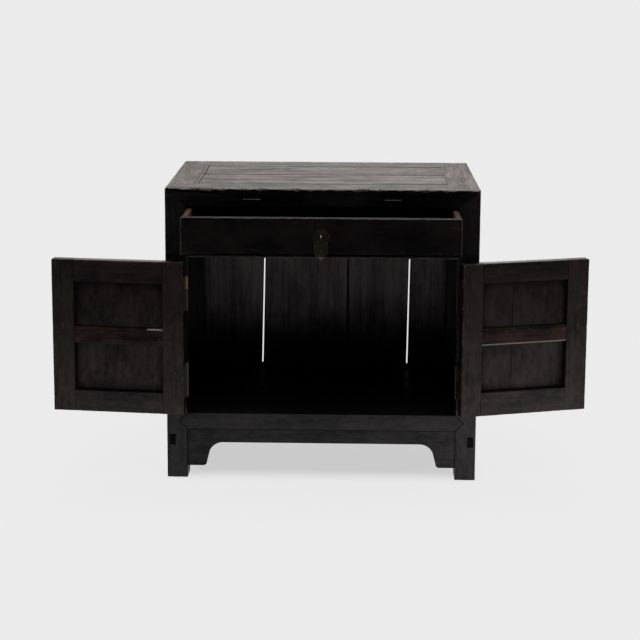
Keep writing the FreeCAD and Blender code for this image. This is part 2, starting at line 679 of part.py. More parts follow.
def drawer_pieces():
    tails = drawer_tails()
    left_tails = [flip_x(tail) for tail in tails]
    grooves = drawer_bottom(DRAWER_GROOVE_DEPTH)
    housing = drawer_back(DRAWER_GROOVE_DEPTH)
    board = box(-DRAWER_X, DRAWER_X, FRONT, DRAWER_FRONT_BACK, DRAWER_BASE, DRAWER_TOP)
    blank = box(
        DRAWER_SIDE_INNER, DRAWER_X, DRAWER_FRONT_BACK, DRAWER_REAR, DRAWER_SIDE_BASE, DRAWER_SIDE_TOP
    )
    side = join(blank, *tails).cut([grooves, housing])
    pull_z = (DRAWER_BASE + DRAWER_TOP) / 2 + DRAWER_PULL_RISE
    plate, cotter, pendant, hole = pull(0, FRONT, pull_z, DRAWER_FRONT_THICKNESS)
    return {
        "drawer_front": board.cut(tails + left_tails + [grooves, hole]),
        "drawer_left_side": flip_x(side),
        "drawer_right_side": side,
        "drawer_back": housing,
        "drawer_bottom": drawer_bottom(DRAWER_GROOVE_DEPTH - EDGE_GAP),
        "drawer_pull_plate": plate,
        "drawer_pull_cotter": cotter,
        "drawer_pull_pendant": pendant,
    }


# Pulls

def pull(x, face, z, thickness):
    """Plate, cotter pin and pendant on a front-facing board, and the hole through that board."""
    eye_y = face - EYE_STAND_OFF
    plate_profile = [
        V(0, 0, 0),
        V(PLATE_RADIUS, 0, 0),
        V(PLATE_RADIUS, -PLATE_RIM_HEIGHT, 0),
        V(PLATE_RADIUS - PLATE_RIM_WIDTH, -PLATE_RIM_HEIGHT, 0),
        V(PLATE_RADIUS - PLATE_RIM_WIDTH, -PLATE_THICKNESS, 0),
        V(DOME_RADIUS, -PLATE_THICKNESS, 0),
    ]
    dome_top = V(0, -DOME_HEIGHT, 0)
    edges = [line(a, b) for a, b in zip(plate_profile, plate_profile[1:])]
    edges.append(tangent_arc(dome_top, V(1, 0, 0), plate_profile[-1]))
    edges.append(line(dome_top, plate_profile[0]))
    disc = Part.Face(Part.Wire(Part.sortEdges(edges)[0])).revolve(V(0, 0, 0), V(0, 1, 0), 360)
    hole_half = SHANK_SIZE / 2 + SHANK_PLAY
    hole = box(x - hole_half, x + hole_half, eye_y, face + thickness, z - hole_half, z + hole_half)
    plate = disc.translated(V(x, face, z)).cut(hole)

    half = SHANK_SIZE / 2
    eye = Part.makeTorus(EYE_RADIUS, EYE_WIRE_RADIUS, V(x, eye_y, z), V(1, 0, 0))
    inside = face + thickness
    shank = box(x - half, x + half, eye_y + EYE_RADIUS, inside + CLINCH_THICKNESS, z - half, z + half)
    clinch = box(
        x - half, x + half, inside, inside + CLINCH_THICKNESS, z - CLINCH_LENGTH, z + CLINCH_LENGTH
    )
    cotter = join(eye, shank, clinch)
    return plate, cotter, pendant(x, eye_y, z), hole


def pendant(x, eye_y, z):
    """A tongue-shaped drop with a hole at its top, hung on the lowest point of the eye."""
    y0 = eye_y - PENDANT_THICKNESS / 2
    hole_z = z - EYE_RADIUS - PENDANT_HANG
    shoulder_z = hole_z - PENDANT_SHOULDER_DROP
    waist_z = hole_z - PENDANT_WAIST_DROP
    tip_z = hole_z - PENDANT_TIP_DROP
    top = V(x, y0, hole_z + PENDANT_LUG_RADIUS)

    def half_outline(side):
        lug = V(x + side * PENDANT_LUG_RADIUS, y0, hole_z)
        shoulder = V(x + side * PENDANT_WIDTH / 2, y0, shoulder_z)
        waist = V(x + side * PENDANT_WAIST_WIDTH / 2, y0, waist_z)
        tip = V(x, y0, tip_z)
        along = tip - waist
        outward = V(-side * along.z, 0, side * along.x).normalize()
        foot = (waist + tip) / 2 + outward * PENDANT_TIP_SWELL
        return [
            tangent_arc(top, V(side, 0, 0), lug),
            tangent_arc(shoulder, V(0, 0, 1), lug),
            line(shoulder, waist),
            Part.Arc(waist, foot, tip).toShape(),
        ]

    edges = Part.sortEdges(half_outline(1) + half_outline(-1))[0]
    drop = Part.Face(Part.Wire(edges)).extrude(V(0, PENDANT_THICKNESS, 0))
    bore = Part.makeCylinder(PENDANT_HOLE_RADIUS, PENDANT_THICKNESS, V(x, y0, hole_z), V(0, 1, 0))
    return drop.cut(bore)


# Hinges, made for the right-hand door when shut

def leaf_recess(x0, y0, middle):
    half = HINGE_HEIGHT / 2
    return box(x0, x0 + LEAF_THICKNESS, y0, y0 + LEAF_DEPTH, middle - half, middle + half)


def hinge_leaf(x0, y0, middle, z0, z1):
    """A leaf let into the wood, with its half of the barrel between z0 and z1."""
    plate = leaf_recess(x0, y0, middle)
    arm = box(x0, x0 + LEAF_THICKNESS, PIN_Y, y0, z0, z1)
    barrel = Part.makeCylinder(BARREL_RADIUS, z1 - z0, V(PIN_X, PIN_Y, z0))
    bore = Part.makeCylinder(PIN_RADIUS + PIN_CLEARANCE, z1 - z0, V(PIN_X, PIN_Y, z0))
    return join(plate, arm, barrel).cut(bore)


def post_leaves():
    leaves = []
    for middle in HINGE_HEIGHTS:
        z0 = middle - HINGE_HEIGHT / 2
        z1 = middle - BARREL_GAP / 2
        leaves.append(hinge_leaf(POST_X, FRONT, middle, z0, z1))
    return leaves


def door_leaves():
    leaves = []
    x0 = DOOR_HINGE_X - LEAF_THICKNESS
    for middle in HINGE_HEIGHTS:
        z0 = middle + BARREL_GAP / 2
        z1 = middle + HINGE_HEIGHT / 2
        leaves.append(hinge_leaf(x0, DOOR_FACE, middle, z0, z1))
    return leaves


def hinge_pins():
    pins = []
    length = HINGE_HEIGHT - 2 * PIN_END_MARGIN
    for middle in HINGE_HEIGHTS:
        foot = V(PIN_X, PIN_Y, middle - length / 2)
        pins.append(Part.makeCylinder(PIN_RADIUS, length, foot))
    return pins


# Doors, made as the right-hand one when shut

def door_rail(base, top, tenon_base, tenon_top):
    """A door rail with its tenons, and with the tenons alone to mortise the stiles."""
    middle = (DOOR_FACE + DOOR_INSIDE) / 2
    y0 = middle - DOOR_TENON_THICKNESS / 2
    y1 = middle + DOOR_TENON_THICKNESS / 2
    x0 = DOOR_OPENING_FREE_X - DOOR_TENON_LENGTH
    x1 = DOOR_OPENING_HINGE_X + DOOR_TENON_LENGTH
    body = box(DOOR_OPENING_FREE_X, DOOR_OPENING_HINGE_X, DOOR_FACE, DOOR_INSIDE, base, top)
    tenons = box(x0, x1, y0, y1, tenon_base, tenon_top)
    mortises = box(x0 - MORTISE_ROOM, x1 + MORTISE_ROOM, y0, y1, tenon_base, tenon_top)
    return join(body, tenons), mortises


def door_panel_space(opening_base, opening_top, reach):
    x0 = DOOR_OPENING_FREE_X - reach
    x1 = DOOR_OPENING_HINGE_X + reach
    return box(x0, x1, DOOR_PANEL_FACE, DOOR_PANEL_INSIDE, opening_base - reach, opening_top + reach)


def door_batten(middle):
    """The bevelled middle batten: a dovetail ridge held by the panel and a tenon at each stile."""
    half = DOOR_BATTEN_HEIGHT / 2
    inside = DOOR_PANEL_INSIDE + DOOR_BATTEN_THICKNESS
    middle_y = (DOOR_PANEL_INSIDE + inside) / 2
    tenon_half = half - DOOR_BATTEN_TENON_SHOULDER
    neck = DOOR_DOVETAIL_NECK / 2
    head = DOOR_DOVETAIL_HEAD / 2
    deep = DOOR_PANEL_INSIDE - DOOR_DOVETAIL_DEPTH
    section = [
        (DOOR_PANEL_INSIDE, middle - half),
        (inside - DOOR_BATTEN_BEVEL, middle - half),
        (inside, middle - half + DOOR_BATTEN_BEVEL),
        (inside, middle + half - DOOR_BATTEN_BEVEL),
        (inside - DOOR_BATTEN_BEVEL, middle + half),
        (DOOR_PANEL_INSIDE, middle + half),
        (DOOR_PANEL_INSIDE, middle + neck),
        (deep, middle + head),
        (deep, middle - head),
        (DOOR_PANEL_INSIDE, middle - neck),
    ]
    x0 = DOOR_OPENING_FREE_X
    x1 = DOOR_OPENING_HINGE_X
    tenons = box(
        x0 - DOOR_BATTEN_TENON_LENGTH,
        x1 + DOOR_BATTEN_TENON_LENGTH,
        middle_y - DOOR_BATTEN_TENON_THICKNESS / 2,
        middle_y + DOOR_BATTEN_TENON_THICKNESS / 2,
        middle - tenon_half,
        middle + tenon_half,
    )
    return join(side_prism(section, x0, x1), tenons)


def door_pieces(top_rail_height, bottom_rail_height, batten_rise, panel_joints):
    """Every piece of the shut right-hand door; panel_joints are distances from its hinge stile."""
    opening_top = DOOR_TOP - top_rail_height
    opening_base = DOOR_BASE + bottom_rail_height
    top_rail, top_mortises = door_rail(
        opening_top, DOOR_TOP, opening_top + DOOR_TENON_SHOULDER, DOOR_TOP - DOOR_TENON_SHOULDER
    )
    bottom_rail, bottom_mortises = door_rail(
        DOOR_BASE, opening_base, DOOR_BASE + DOOR_TENON_SHOULDER, opening_base - DOOR_TENON_SHOULDER
    )
    groove = door_panel_space(opening_base, opening_top, GROOVE_DEPTH)
    panel = door_panel_space(opening_base, opening_top, TONGUE_LENGTH)
    batten = door_batten(DOOR_MIDDLE + batten_rise)
    for distance in panel_joints:
        x = DOOR_OPENING_HINGE_X - distance
        panel = panel.cut(box(x - BOARD_GAP / 2, x + BOARD_GAP / 2, FRONT, BACK, 0, HEIGHT))
    recesses = [leaf_recess(DOOR_HINGE_X - LEAF_THICKNESS, DOOR_FACE, z) for z in HINGE_HEIGHTS]
    pull_z = DOOR_MIDDLE + DOOR_PULL_RISE
    plate, cotter, drop, hole = pull(DOOR_PULL_X, DOOR_FACE, pull_z, DOOR_THICKNESS)
    hinge_stile = box(DOOR_OPENING_HINGE_X, DOOR_HINGE_X, DOOR_FACE, DOOR_INSIDE, DOOR_BASE, DOOR_TOP)
    free_stile = box(DOOR_FREE_X, DOOR_OPENING_FREE_X, DOOR_FACE, DOOR_INSIDE, DOOR_BASE, DOOR_TOP)
    stile_cuts = [top_mortises, bottom_mortises, groove, batten]
    return {
        "hinge_stile": hinge_stile.cut(stile_cuts + recesses),
        "free_stile": free_stile.cut(stile_cuts + [hole]),
        "top_rail": top_rail.cut(groove),
        "bottom_rail": bottom_rail.cut(groove),
        "panel": panel.cut(batten),
        "batten": batten,
        "hinge_leaves": Part.makeCompound(door_leaves()),
        "pull_plate": plate,
        "pull_cotter": cotter,
        "pull_pendant": drop,
    }


def folded_back(clearance):
    """Degrees that a door turns to stop at a clearance from the outer corner of its post."""
    aside = POST_WIDTH + DOOR_HINGE_GAP / 2
    corner_angle = math.atan2(PIN_PROUD, aside)
    face_angle = math.asin((PIN_PROUD + DOOR_SET_BACK - clearance) / math.hypot(aside, PIN_PROUD))
    return 180 + math.degrees(corner_angle + face_angle)


# Whole chest

def top_pieces(post):
    """The top frame, its boards and battens, fitted over the four post blanks."""
    posts = both_sides(post)
    corner_posts = both_ends(post)
    battens = [top_batten(-TOP_BATTEN_X), top_batten(TOP_BATTEN_X)]
    front_rail = long_rail(posts, both_sides(corner_tenon()), battens)
    right_rail = end_rail(corner_posts, side_rail_groove())
    tongue_y = TOP_PANEL_Y + TONGUE_LENGTH
    body_y = TOP_PANEL_Y - EDGE_GAP
    half_gap = BOARD_GAP / 2
    return {
        "top_front_rail": front_rail,
        "top_rear_rail": flip_y(front_rail).cut(back_groove()),
        "top_left_rail": flip_x(right_rail),
        "top_right_rail": right_rail,
        "top_front_board": top_board(-body_y, -half_gap, -tongue_y, -half_gap, battens),
        "top_rear_board": top_board(half_gap, body_y, half_gap, tongue_y, battens),
        "top_battens": Part.makeCompound(battens),
    }


def carcass_pieces():
    post = post_blank()
    bottom_rail, bottom_sockets = pointed_rail(BOTTOM_RAIL_BASE, BOTTOM_RAIL_TOP)
    divider, divider_sockets = pointed_rail(DIVIDER_BASE, DIVIDER_TOP)
    right_side_rail, side_sockets = side_rail()
    bottom_rear_rail, rear_sockets = rear_rail()
    runner = drawer_runner(0)
    recesses = [leaf_recess(POST_X, FRONT, z) for z in HINGE_HEIGHTS]
    shared_sockets = side_sockets + [side_post_groove(), drawer_runner(MORTISE_ROOM)]
    front_sockets = shared_sockets + bottom_sockets + divider_sockets + recesses
    front_post = post.cut(front_sockets + [apron_tongue(TONGUE_LENGTH)])
    rear_blank = flip_y(post)
    rear_shared = [flip_y(socket) for socket in side_sockets + [side_post_groove()]]
    rear_post = rear_blank.cut(rear_shared + rear_sockets + [drawer_runner(MORTISE_ROOM), back_groove()])
    floor_mortises = both_sides(floor_batten(MORTISE_ROOM))
    panel = side_panel()
    pieces = top_pieces(post)
    pieces.update({
        "front_left_post": flip_x(front_post),
        "front_right_post": front_post,
        "rear_left_post": flip_x(rear_post),
        "rear_right_post": rear_post,
        "drawer_divider_rail": divider,
        "left_drawer_runner": flip_x(runner),
        "right_drawer_runner": runner,
        "drawer_guides": Part.makeCompound(both_sides(drawer_guide())),
        "drawer_stops": Part.makeCompound(both_sides(drawer_stop())),
        "bottom_front_rail": bottom_rail.cut(
            floor_mortises + [floor_groove(), apron_tongue(TONGUE_LENGTH)]
        ),
        "bottom_rear_rail": bottom_rear_rail.cut(floor_mortises + [floor_groove()]),
        "left_side_rail": flip_x(right_side_rail),
        "right_side_rail": right_side_rail,
        "floor_boards": Part.makeCompound(floor_boards()),
        "floor_battens": Part.makeCompound(both_sides(floor_batten(0))),
        "front_apron": apron(),
        "left_side_panel": Part.makeCompound([flip_x(board) for board in panel]),
        "right_side_panel": Part.makeCompound(panel),
        "back_boards": Part.makeCompound(back_boards()),
        "left_post_hinge_leaves": flip_x(Part.makeCompound(post_leaves())),
        "right_post_hinge_leaves": Part.makeCompound(post_leaves()),
        "hinge_pins": Part.makeCompound(hinge_pins() + [flip_x(pin) for pin in hinge_pins()]),
    })
    return pieces


def whole_chest():
    pieces = carcass_pieces()
    for name, shape in drawer_pieces().items():
        pieces[name] = shape.translated(V(0, -DRAWER_OUT, 0))
    upright = V(0, 0, 1)
    right_door = door_pieces(
        RIGHT_DOOR_TOP_RAIL_HEIGHT,
        RIGHT_DOOR_BOTTOM_RAIL_HEIGHT,
        RIGHT_DOOR_BATTEN_RISE,
        [DOOR_PANEL_JOINT],
    )
    left_door = door_pieces(
        LEFT_DOOR_TOP_RAIL_HEIGHT,
        LEFT_DOOR_BOTTOM_RAIL_HEIGHT,
        LEFT_DOOR_BATTEN_RISE,
        [],
    )
    right_turn = folded_back(RIGHT_DOOR_CLEARANCE)
    left_turn = -folded_back(LEFT_DOOR_CLEARANCE)
    for name, shape in right_door.items():
        pieces["right_door_" + name] = shape.rotated(V(PIN_X, PIN_Y, 0), upright, right_turn)
    for name, shape in left_door.items():
        pieces["left_door_" + name] = flip_x(shape).rotated(V(-PIN_X, PIN_Y, 0), upright, left_turn)
    return pieces


os.makedirs("parts", exist_ok=True)
for node, piece in whole_chest().items():
    solids = piece.Solids
    shape = solids[0] if len(solids) == 1 else Part.makeCompound(solids)
    shape.exportStep("parts/" + node + ".step")
    print(node, len(solids), round(sum(solid.Volume for solid in solids)))
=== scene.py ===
"""Looks of a low lacquered chest: its worn wood and old brass, and the plain studio that it stands in."""

import json
import math

import bmesh
import bpy
from mathutils import Matrix, Vector, noise

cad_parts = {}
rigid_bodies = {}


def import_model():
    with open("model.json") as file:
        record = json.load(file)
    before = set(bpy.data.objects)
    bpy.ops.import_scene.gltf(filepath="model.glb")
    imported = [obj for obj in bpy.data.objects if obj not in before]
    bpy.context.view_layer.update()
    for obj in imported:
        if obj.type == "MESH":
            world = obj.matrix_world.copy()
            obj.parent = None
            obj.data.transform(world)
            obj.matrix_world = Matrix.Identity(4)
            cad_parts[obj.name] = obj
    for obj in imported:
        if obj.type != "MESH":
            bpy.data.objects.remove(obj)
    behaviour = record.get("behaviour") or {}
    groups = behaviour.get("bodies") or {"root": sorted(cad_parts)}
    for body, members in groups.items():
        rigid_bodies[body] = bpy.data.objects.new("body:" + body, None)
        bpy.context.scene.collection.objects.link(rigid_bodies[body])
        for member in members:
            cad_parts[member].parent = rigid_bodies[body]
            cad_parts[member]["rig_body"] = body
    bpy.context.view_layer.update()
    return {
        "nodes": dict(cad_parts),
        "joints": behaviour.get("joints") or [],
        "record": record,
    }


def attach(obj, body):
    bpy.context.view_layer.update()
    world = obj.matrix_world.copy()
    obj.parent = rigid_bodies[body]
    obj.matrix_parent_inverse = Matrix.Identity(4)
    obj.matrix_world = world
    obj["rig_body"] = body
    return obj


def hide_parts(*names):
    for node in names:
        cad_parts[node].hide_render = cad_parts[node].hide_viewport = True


bl_info = {
    "name": "Lacquered Chest",
    "version": (1, 0, 0),
    "blender": (4, 5, 0),
    "location": "View3D > Sidebar > Chest",
    "description": "Finishes the pieces of a low lacquered chest and sets up its studio",
    "category": "Object",
}

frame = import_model()

# Name of the point attribute that holds each board's place along, across and into its grain, in metres
GRAIN = "grain"

# Name of the face attribute that is 1 where the grain runs into the face, and 0 where it runs along it
END_GRAIN = "end_grain"

# Names of the point attributes that hold how far a point lies inside the low and the high sides of
# the outline along which its piece is worn, in metres
FROM_LOW = "from_low"
FROM_HIGH = "from_high"

# How the axes of a piece are read as along, across and into the grain
ALONG_X = (0, 1, 2)
ALONG_Y = (1, 0, 2)
ALONG_Z = (2, 0, 1)

# Patterns of the wood: how often each repeats in a metre along, across and into the grain, and the
# detail, roughness and distortion of its noise
WAVE = ((1.6, 22.0, 22.0), 4.0, 0.6, 0.9)
STREAK = ((5.0, 190.0, 190.0), 4.0, 0.65, 0.3)
FIBRE = ((22.0, 650.0, 650.0), 2.0, 0.55, 0.0)
CLOUD = ((8.0, 13.0, 13.0), 4.0, 0.6, 0.0)
PATCH = ((45.0, 80.0, 80.0), 5.0, 0.65, 0.0)
SCUFF = ((70.0, 110.0, 110.0), 2.0, 0.5, 0.0)
GRIT = ((120.0, 120.0, 120.0), 4.0, 0.6, 0.0)

# Patterns of the metal, in the same way
TARNISH = ((60.0, 60.0, 60.0), 5.0, 0.65, 0.0)
SPECK = ((700.0, 700.0, 700.0), 3.0, 0.55, 0.0)

# Where the wood goes from its dark to its light tone, an edge from lacquered to rubbed, a spot from whole
# to dinged, and metal from its film to clean, each in values of the patterns that are summed up for it
TONE_RANGE = (0.22, 0.78)
RUB_RANGE = (0.42, 0.66)
DING_RANGE = (0.72, 0.78)
CLEAN_RANGE = (0.75, 1.05)

# Heights of the grain, of the dirt in the joints and of the film on metal, in metres
GRAIN_HEIGHT = 0.0006
GRIT_HEIGHT = 0.0003
TARNISH_HEIGHT = 0.0002

# How far the edge of the painted shade low on the boards wavers, in metres
SHADE_WAVER = 0.06

# Turn of a rounded edge's normal, as 1 less its cosine, where metal starts to rub and where it is bare
EDGE_RUB = (0.01, 0.16)

# Distance over which the bared metal of a hinge fades up its knuckle, in metres, and the radius at which
# it ends round the barrel, in radii of its bare part
KNUCKLE_FADE = 0.001
BARREL_FADE = 1.1

# An edge is eased in this many steps where its two faces turn by more than the first angle, and faces
# that turn by less than the second are one
EASE_STEPS = 2
SHARP_TURN = math.radians(30)
FLAT_TURN = math.radians(0.5)

# How far along an axis the normal of a face goes where it faces that way, slopes that way, or rises at all
FACING = 0.9
SLOPING = 0.4
RISING = 0.2

# A face looks inwards where its normal times its place from the chest's middle falls below minus this
INWARDS = 0.05

# Deepest chip in an arris and how far off the arris a dent reaches, in roundings of that arris
DEEPEST_CHIP = 2.2
DENT_REACH = 1.05

# How often the broad swells and the small knocks of an arris repeat in a metre, and how far each is lifted
# before what is left below zero goes
SWELL_PITCH = 55.0
SWELL_LIFT = 0.1
KNOCK_PITCH = 190.0
KNOCK_LIFT = -0.05

# Two points this near to each other are one, and an edge this near to the outline lies on it
WELD_GAP = 1e-6
OUTLINE_GAP = 1e-4

# Boards that touch are drawn this far apart, and joints narrower than the second value are closed to it
HAIR = 1e-5
NARROW_JOINT = 1e-3

# Decimal places of a metre to which the sides of boards and the heights of hinge leaves are compared
SIDE_DIGITS = 5
LEAF_DIGITS = 4

# Shift of the grain from one board to the next, so that no two are alike, and the boards counted in a node
BOARD_SHIFT = Vector((1.37, 0.61, 0.83))
BOARDS_IN_NODE = 5

# Slots of a wooden piece's own finish and of the dirt in its joints
OWN_SLOT = 0
JOINT_SLOT = 1

# Radius and height of the rings of a screw head, in shares of the whole, and the number of its sides
SCREW_RINGS = [(1.0, 0.0), (0.93, 0.7), (0.7, 0.92), (0.4, 1.0)]
SCREW_SIDES = 20

# Half width of a screw's slot in radii, the height of its floor, and the height above which it is cut
SLOT_HALF = 0.14
SLOT_FLOOR = 0.1
SLOT_CUT = 0.5

# Turn of a screw's slot in radians, and how it differs between hinges and between the screws of one leaf
SLOT_TURN = 0.6
HINGE_TURN = 0.9
SCREW_TURN = 0.5

# Paleness of the floor where it takes shadow, and how evenly pale the lens sees it under and by the chest
FLOOR_MATTE = 0.8
EVEN_UNDER = 0.7
EVEN_BESIDE = 0.96

# Distances out from the feet, in metres, over which the shadow ends, the floor becomes even, and the painted
# shadow in the floor's glow under the chest ends
SHADOW_END = (-0.08, 0.035)
EVEN_FLOOR = (0.1, 0.5)
PAINTED_SHADOW_END = (-0.1, 0.05)

# The floor as the chest sees it is a glow, painted light on the chest; in metres: where it fades to the
# front, and where it gets brighter and then dimmer to the right. The brighter part shows over the last
# shares of nearness only
FRONT_FADE = (0.5, 2.6)
RIGHT_RISE = (-0.3, 0.6)
RIGHT_FALL = (1.0, 2.2)
NEAR_FADE = (0.3, 1.0)

# Levels of that glow far off, under the chest as a painted shadow, and at the left, what the right gains and
# loses, and its tint
FAR_LEVEL = 0.03
UNDER_LEVEL = 0.25
LEFT_LEVEL = 0.85
RIGHT_GAIN = 0.5
RIGHT_LOSS = 0.42
FLOOR_TINT = (1.0, 0.955, 0.95)

# The backdrop as the chest sees it: how far behind it is lit, where it falls off to the left, and to what
BACK_LIGHT = (-0.45, 0.75)
LEFT_FALL = (-0.14, 0.04)
LEFT_BACKDROP = 0.81

POSTS = ["front_left_post", "front_right_post", "rear_left_post", "rear_right_post"]
TOP_FRAME = ["top_front_rail", "top_rear_rail", "top_left_rail", "top_right_rail"]

# The nodes whose common outline wears as the chest's own
OUTER = POSTS + TOP_FRAME


def number_setting(name, description, default, **kind):
    return bpy.props.FloatProperty(name=name, description=description, default=default, **kind)


def length_setting(name, description, default):
    return number_setting(name, description, default, unit="LENGTH")


def colour_setting(name, description, *default):
    return bpy.props.FloatVectorProperty(
        name=name, description=description, default=default, subtype="COLOR"
    )


class ChestWood(bpy.types.PropertyGroup):
    """Colours of the wood and how far it is worn."""

    lacquer_dark: colour_setting(
        "Lacquer, dark", "Darkest tone of the outer lacquer", 0.0022, 0.0020, 0.0021
    )
    lacquer_light: colour_setting(
        "Lacquer, light", "Lightest tone of the outer lacquer", 0.0100, 0.0083, 0.0079
    )
    door_dark: colour_setting(
        "Door inside, dark", "Darkest tone of the thin lacquer inside the doors", 0.0050, 0.0042, 0.0040
    )
    door_light: colour_setting(
        "Door inside, light", "Lightest tone of the thin lacquer inside the doors", 0.0240, 0.0145, 0.0132
    )
    batten_light: colour_setting(
        "Door batten", "Reddish tone of the battens across the doors", 0.0440, 0.0200, 0.0150
    )
    top_dark: colour_setting("Top, dark", "Dark streaks of the worn top", 0.0260, 0.0185, 0.0155)
    top_light: colour_setting("Top, light", "Light streaks of the worn top", 0.1150, 0.0800, 0.0660)
    # The inside of the back is paler than its outside; the paler tone is partly painted light that brightens
    # the dim inside
    inner_dark: colour_setting(
        "Inner boards, dark", "Dark tone of the dry inside of the back", 0.1150, 0.1010, 0.1060
    )
    inner_light: colour_setting(
        "Inner boards, light", "Light tone of the dry inside of the back", 0.3500, 0.3120, 0.3240
    )
    outer_back_dark: colour_setting(
        "Back outside, dark", "Dark tone of the weathered outside of the back", 0.0420, 0.0320, 0.0260
    )
    outer_back_light: colour_setting(
        "Back outside, light", "Light tone of the weathered outside of the back", 0.1300, 0.1050, 0.0880
    )
    bare_dark: colour_setting(
        "Bare wood, dark", "Dark grain of the unlacquered drawer wood", 0.0300, 0.0150, 0.0100
    )
    bare_light: colour_setting(
        "Bare wood, light", "Light grain of the unlacquered drawer wood", 0.0850, 0.0430, 0.0290
    )
    drawer_light: colour_setting(
        "Drawer front, light", "Reddish stains in the lacquer of the drawer front", 0.0085, 0.0050, 0.0053
    )
    # Also the light tone of the painted light on the top's tenon ends and inner rail walls, and of the
    # painted reflection on the right batten's lower edge
    pale_wear_and_painted_light: colour_setting(
        "Pale edge", "Bare wood where an edge of the top or of a batten is rubbed", 0.4000, 0.3600, 0.3300
    )
    # Dark tone of the pale painted light on the top: the highlight line along the tenon ends and the inner
    # walls of the rear and right rails
    painted_line_dark: colour_setting(
        "Rubbed top edge", "Dark tone of the rubbed tenon ends and seams of the top", 0.1900, 0.1720, 0.1650
    )
    rubbed: colour_setting(
        "Rubbed edge", "Wood that shows where an edge is rubbed through", 0.1050, 0.0740, 0.0590
    )
    rub_reach: length_setting(
        "Rubbed edge reach", "How far from an outer edge the lacquer is rubbed", 0.006
    )
    # Reach of the painted shade that darkens the borders of a panel and of the back
    painted_shade_reach: length_setting(
        "Grime reach", "How far from the border of a panel or of the back the dirt reaches", 0.03
    )
    arris: length_setting("Arris rounding", "How far the outer edges are rounded", 0.0022)
    joint_ease: length_setting("Joint easing", "Width of the eased edge at a joint", 0.0006)
    seam_ease: length_setting(
        "Seam easing", "Width of the eased edges at the seams of the lower rails and the apron", 0.0011
    )
    back_ease: length_setting("Back easing", "Width of the eased edges of the back's boards", 0.0022)
    # Width of the darker strip along the top's front rail and its boards' front edges
    dark_seam_strip: length_setting(
        "Seam dirt", "Width of the dirt along the top's front rail and its boards' front edges", 0.006
    )
    # Height of the painted highlight along the lower edge of each tenon end that shows in the top
    tenon_highlight: length_setting(
        "Tenon rubbing", "Height of the rubbed line along the tenon ends that show in the top", 0.0023
    )
    # Heights of the painted shade inside the back: it darkens from the upper height down to the lower one
    unshaded_above: length_setting(
        "Clean above", "Height on the back's boards over which their inside is clean", 0.21
    )
    shaded_below: length_setting(
        "Soiled below", "Height on the back's boards under which their inside is soiled", 0.03
    )
    splinter: length_setting("Splinter", "Length of the splinter off the left door's batten", 0.038)
    splinter_height: length_setting(
        "Splinter height", "Height of the splinter off the left door's batten", 0.0025
    )
    chip_pitch: length_setting("Chip pitch", "Spacing of the points that dent an arris", 0.005)
    coat_roughness: number_setting(
        "Lacquer roughness", "Roughness of the lacquer's skin", 0.26, subtype="FACTOR"
    )


class ChestMetal(bpy.types.PropertyGroup):
    """Colours and small sizes of the brass and iron."""

    brass_dark: colour_setting("Brass, tarnished", "Brown film on the old brass", 0.0150, 0.0112, 0.0085)
    brass_light: colour_setting("Brass, bared", "Brass where it is worn bright", 0.5000, 0.3000, 0.1800)
    hinge_film: colour_setting("Hinge, dull", "Grey film on the old hinges", 0.0900, 0.0760, 0.0660)
    # Also the colour of the painted highlight on the drawer's cotter eye and of the painted glint at its
    # pendant's tip
    pale_brass_wear_and_glint: colour_setting(
        "Brass, rubbed", "Pale brass where hinges and pulls are rubbed", 0.5600, 0.4400, 0.3200
    )
    pendant_film: colour_setting("Pendant, dull", "Mottled film on the pendants", 0.0150, 0.0118, 0.0108)
    iron_dark: colour_setting("Iron, dark", "Dark skin of the pins and screws", 0.0500, 0.0450, 0.0420)
    iron_light: colour_setting("Iron, bright", "Rubbed iron", 0.4200, 0.4000, 0.3800)
    metal_edge: length_setting("Metal edge", "Reach of the rubbing along the edges of metal", 0.0003)
    # Height of the painted glint: the drawer pendant's tip is clean, bright brass
    tip: length_setting("Pendant tip", "Height of the bright tip of the drawer's pendant", 0.007)
    knuckle: length_setting(
        "Hinge knuckle", "Height of the bared knuckle at the top of the upper left hinge", 0.030
    )
    barrel_radius: length_setting(
        "Hinge barrel radius", "Distance from the pin within which the knuckle is bared", 0.0065
    )
    plate_ease: length_setting("Pull edge", "Rounding of the edges of the pull plates", 0.0008)
    screw_radius: length_setting(
        "Screw head radius", "Radius of the screw heads in the hinge leaves", 0.0030
    )
    screw_spread: length_setting(
        "Screw spread", "Distance of each screw above or below the middle of its leaf", 0.026
    )
    screw_proud: length_setting(
        "Screw head height", "How far the screw heads stand proud of the leaf", 0.00025
    )


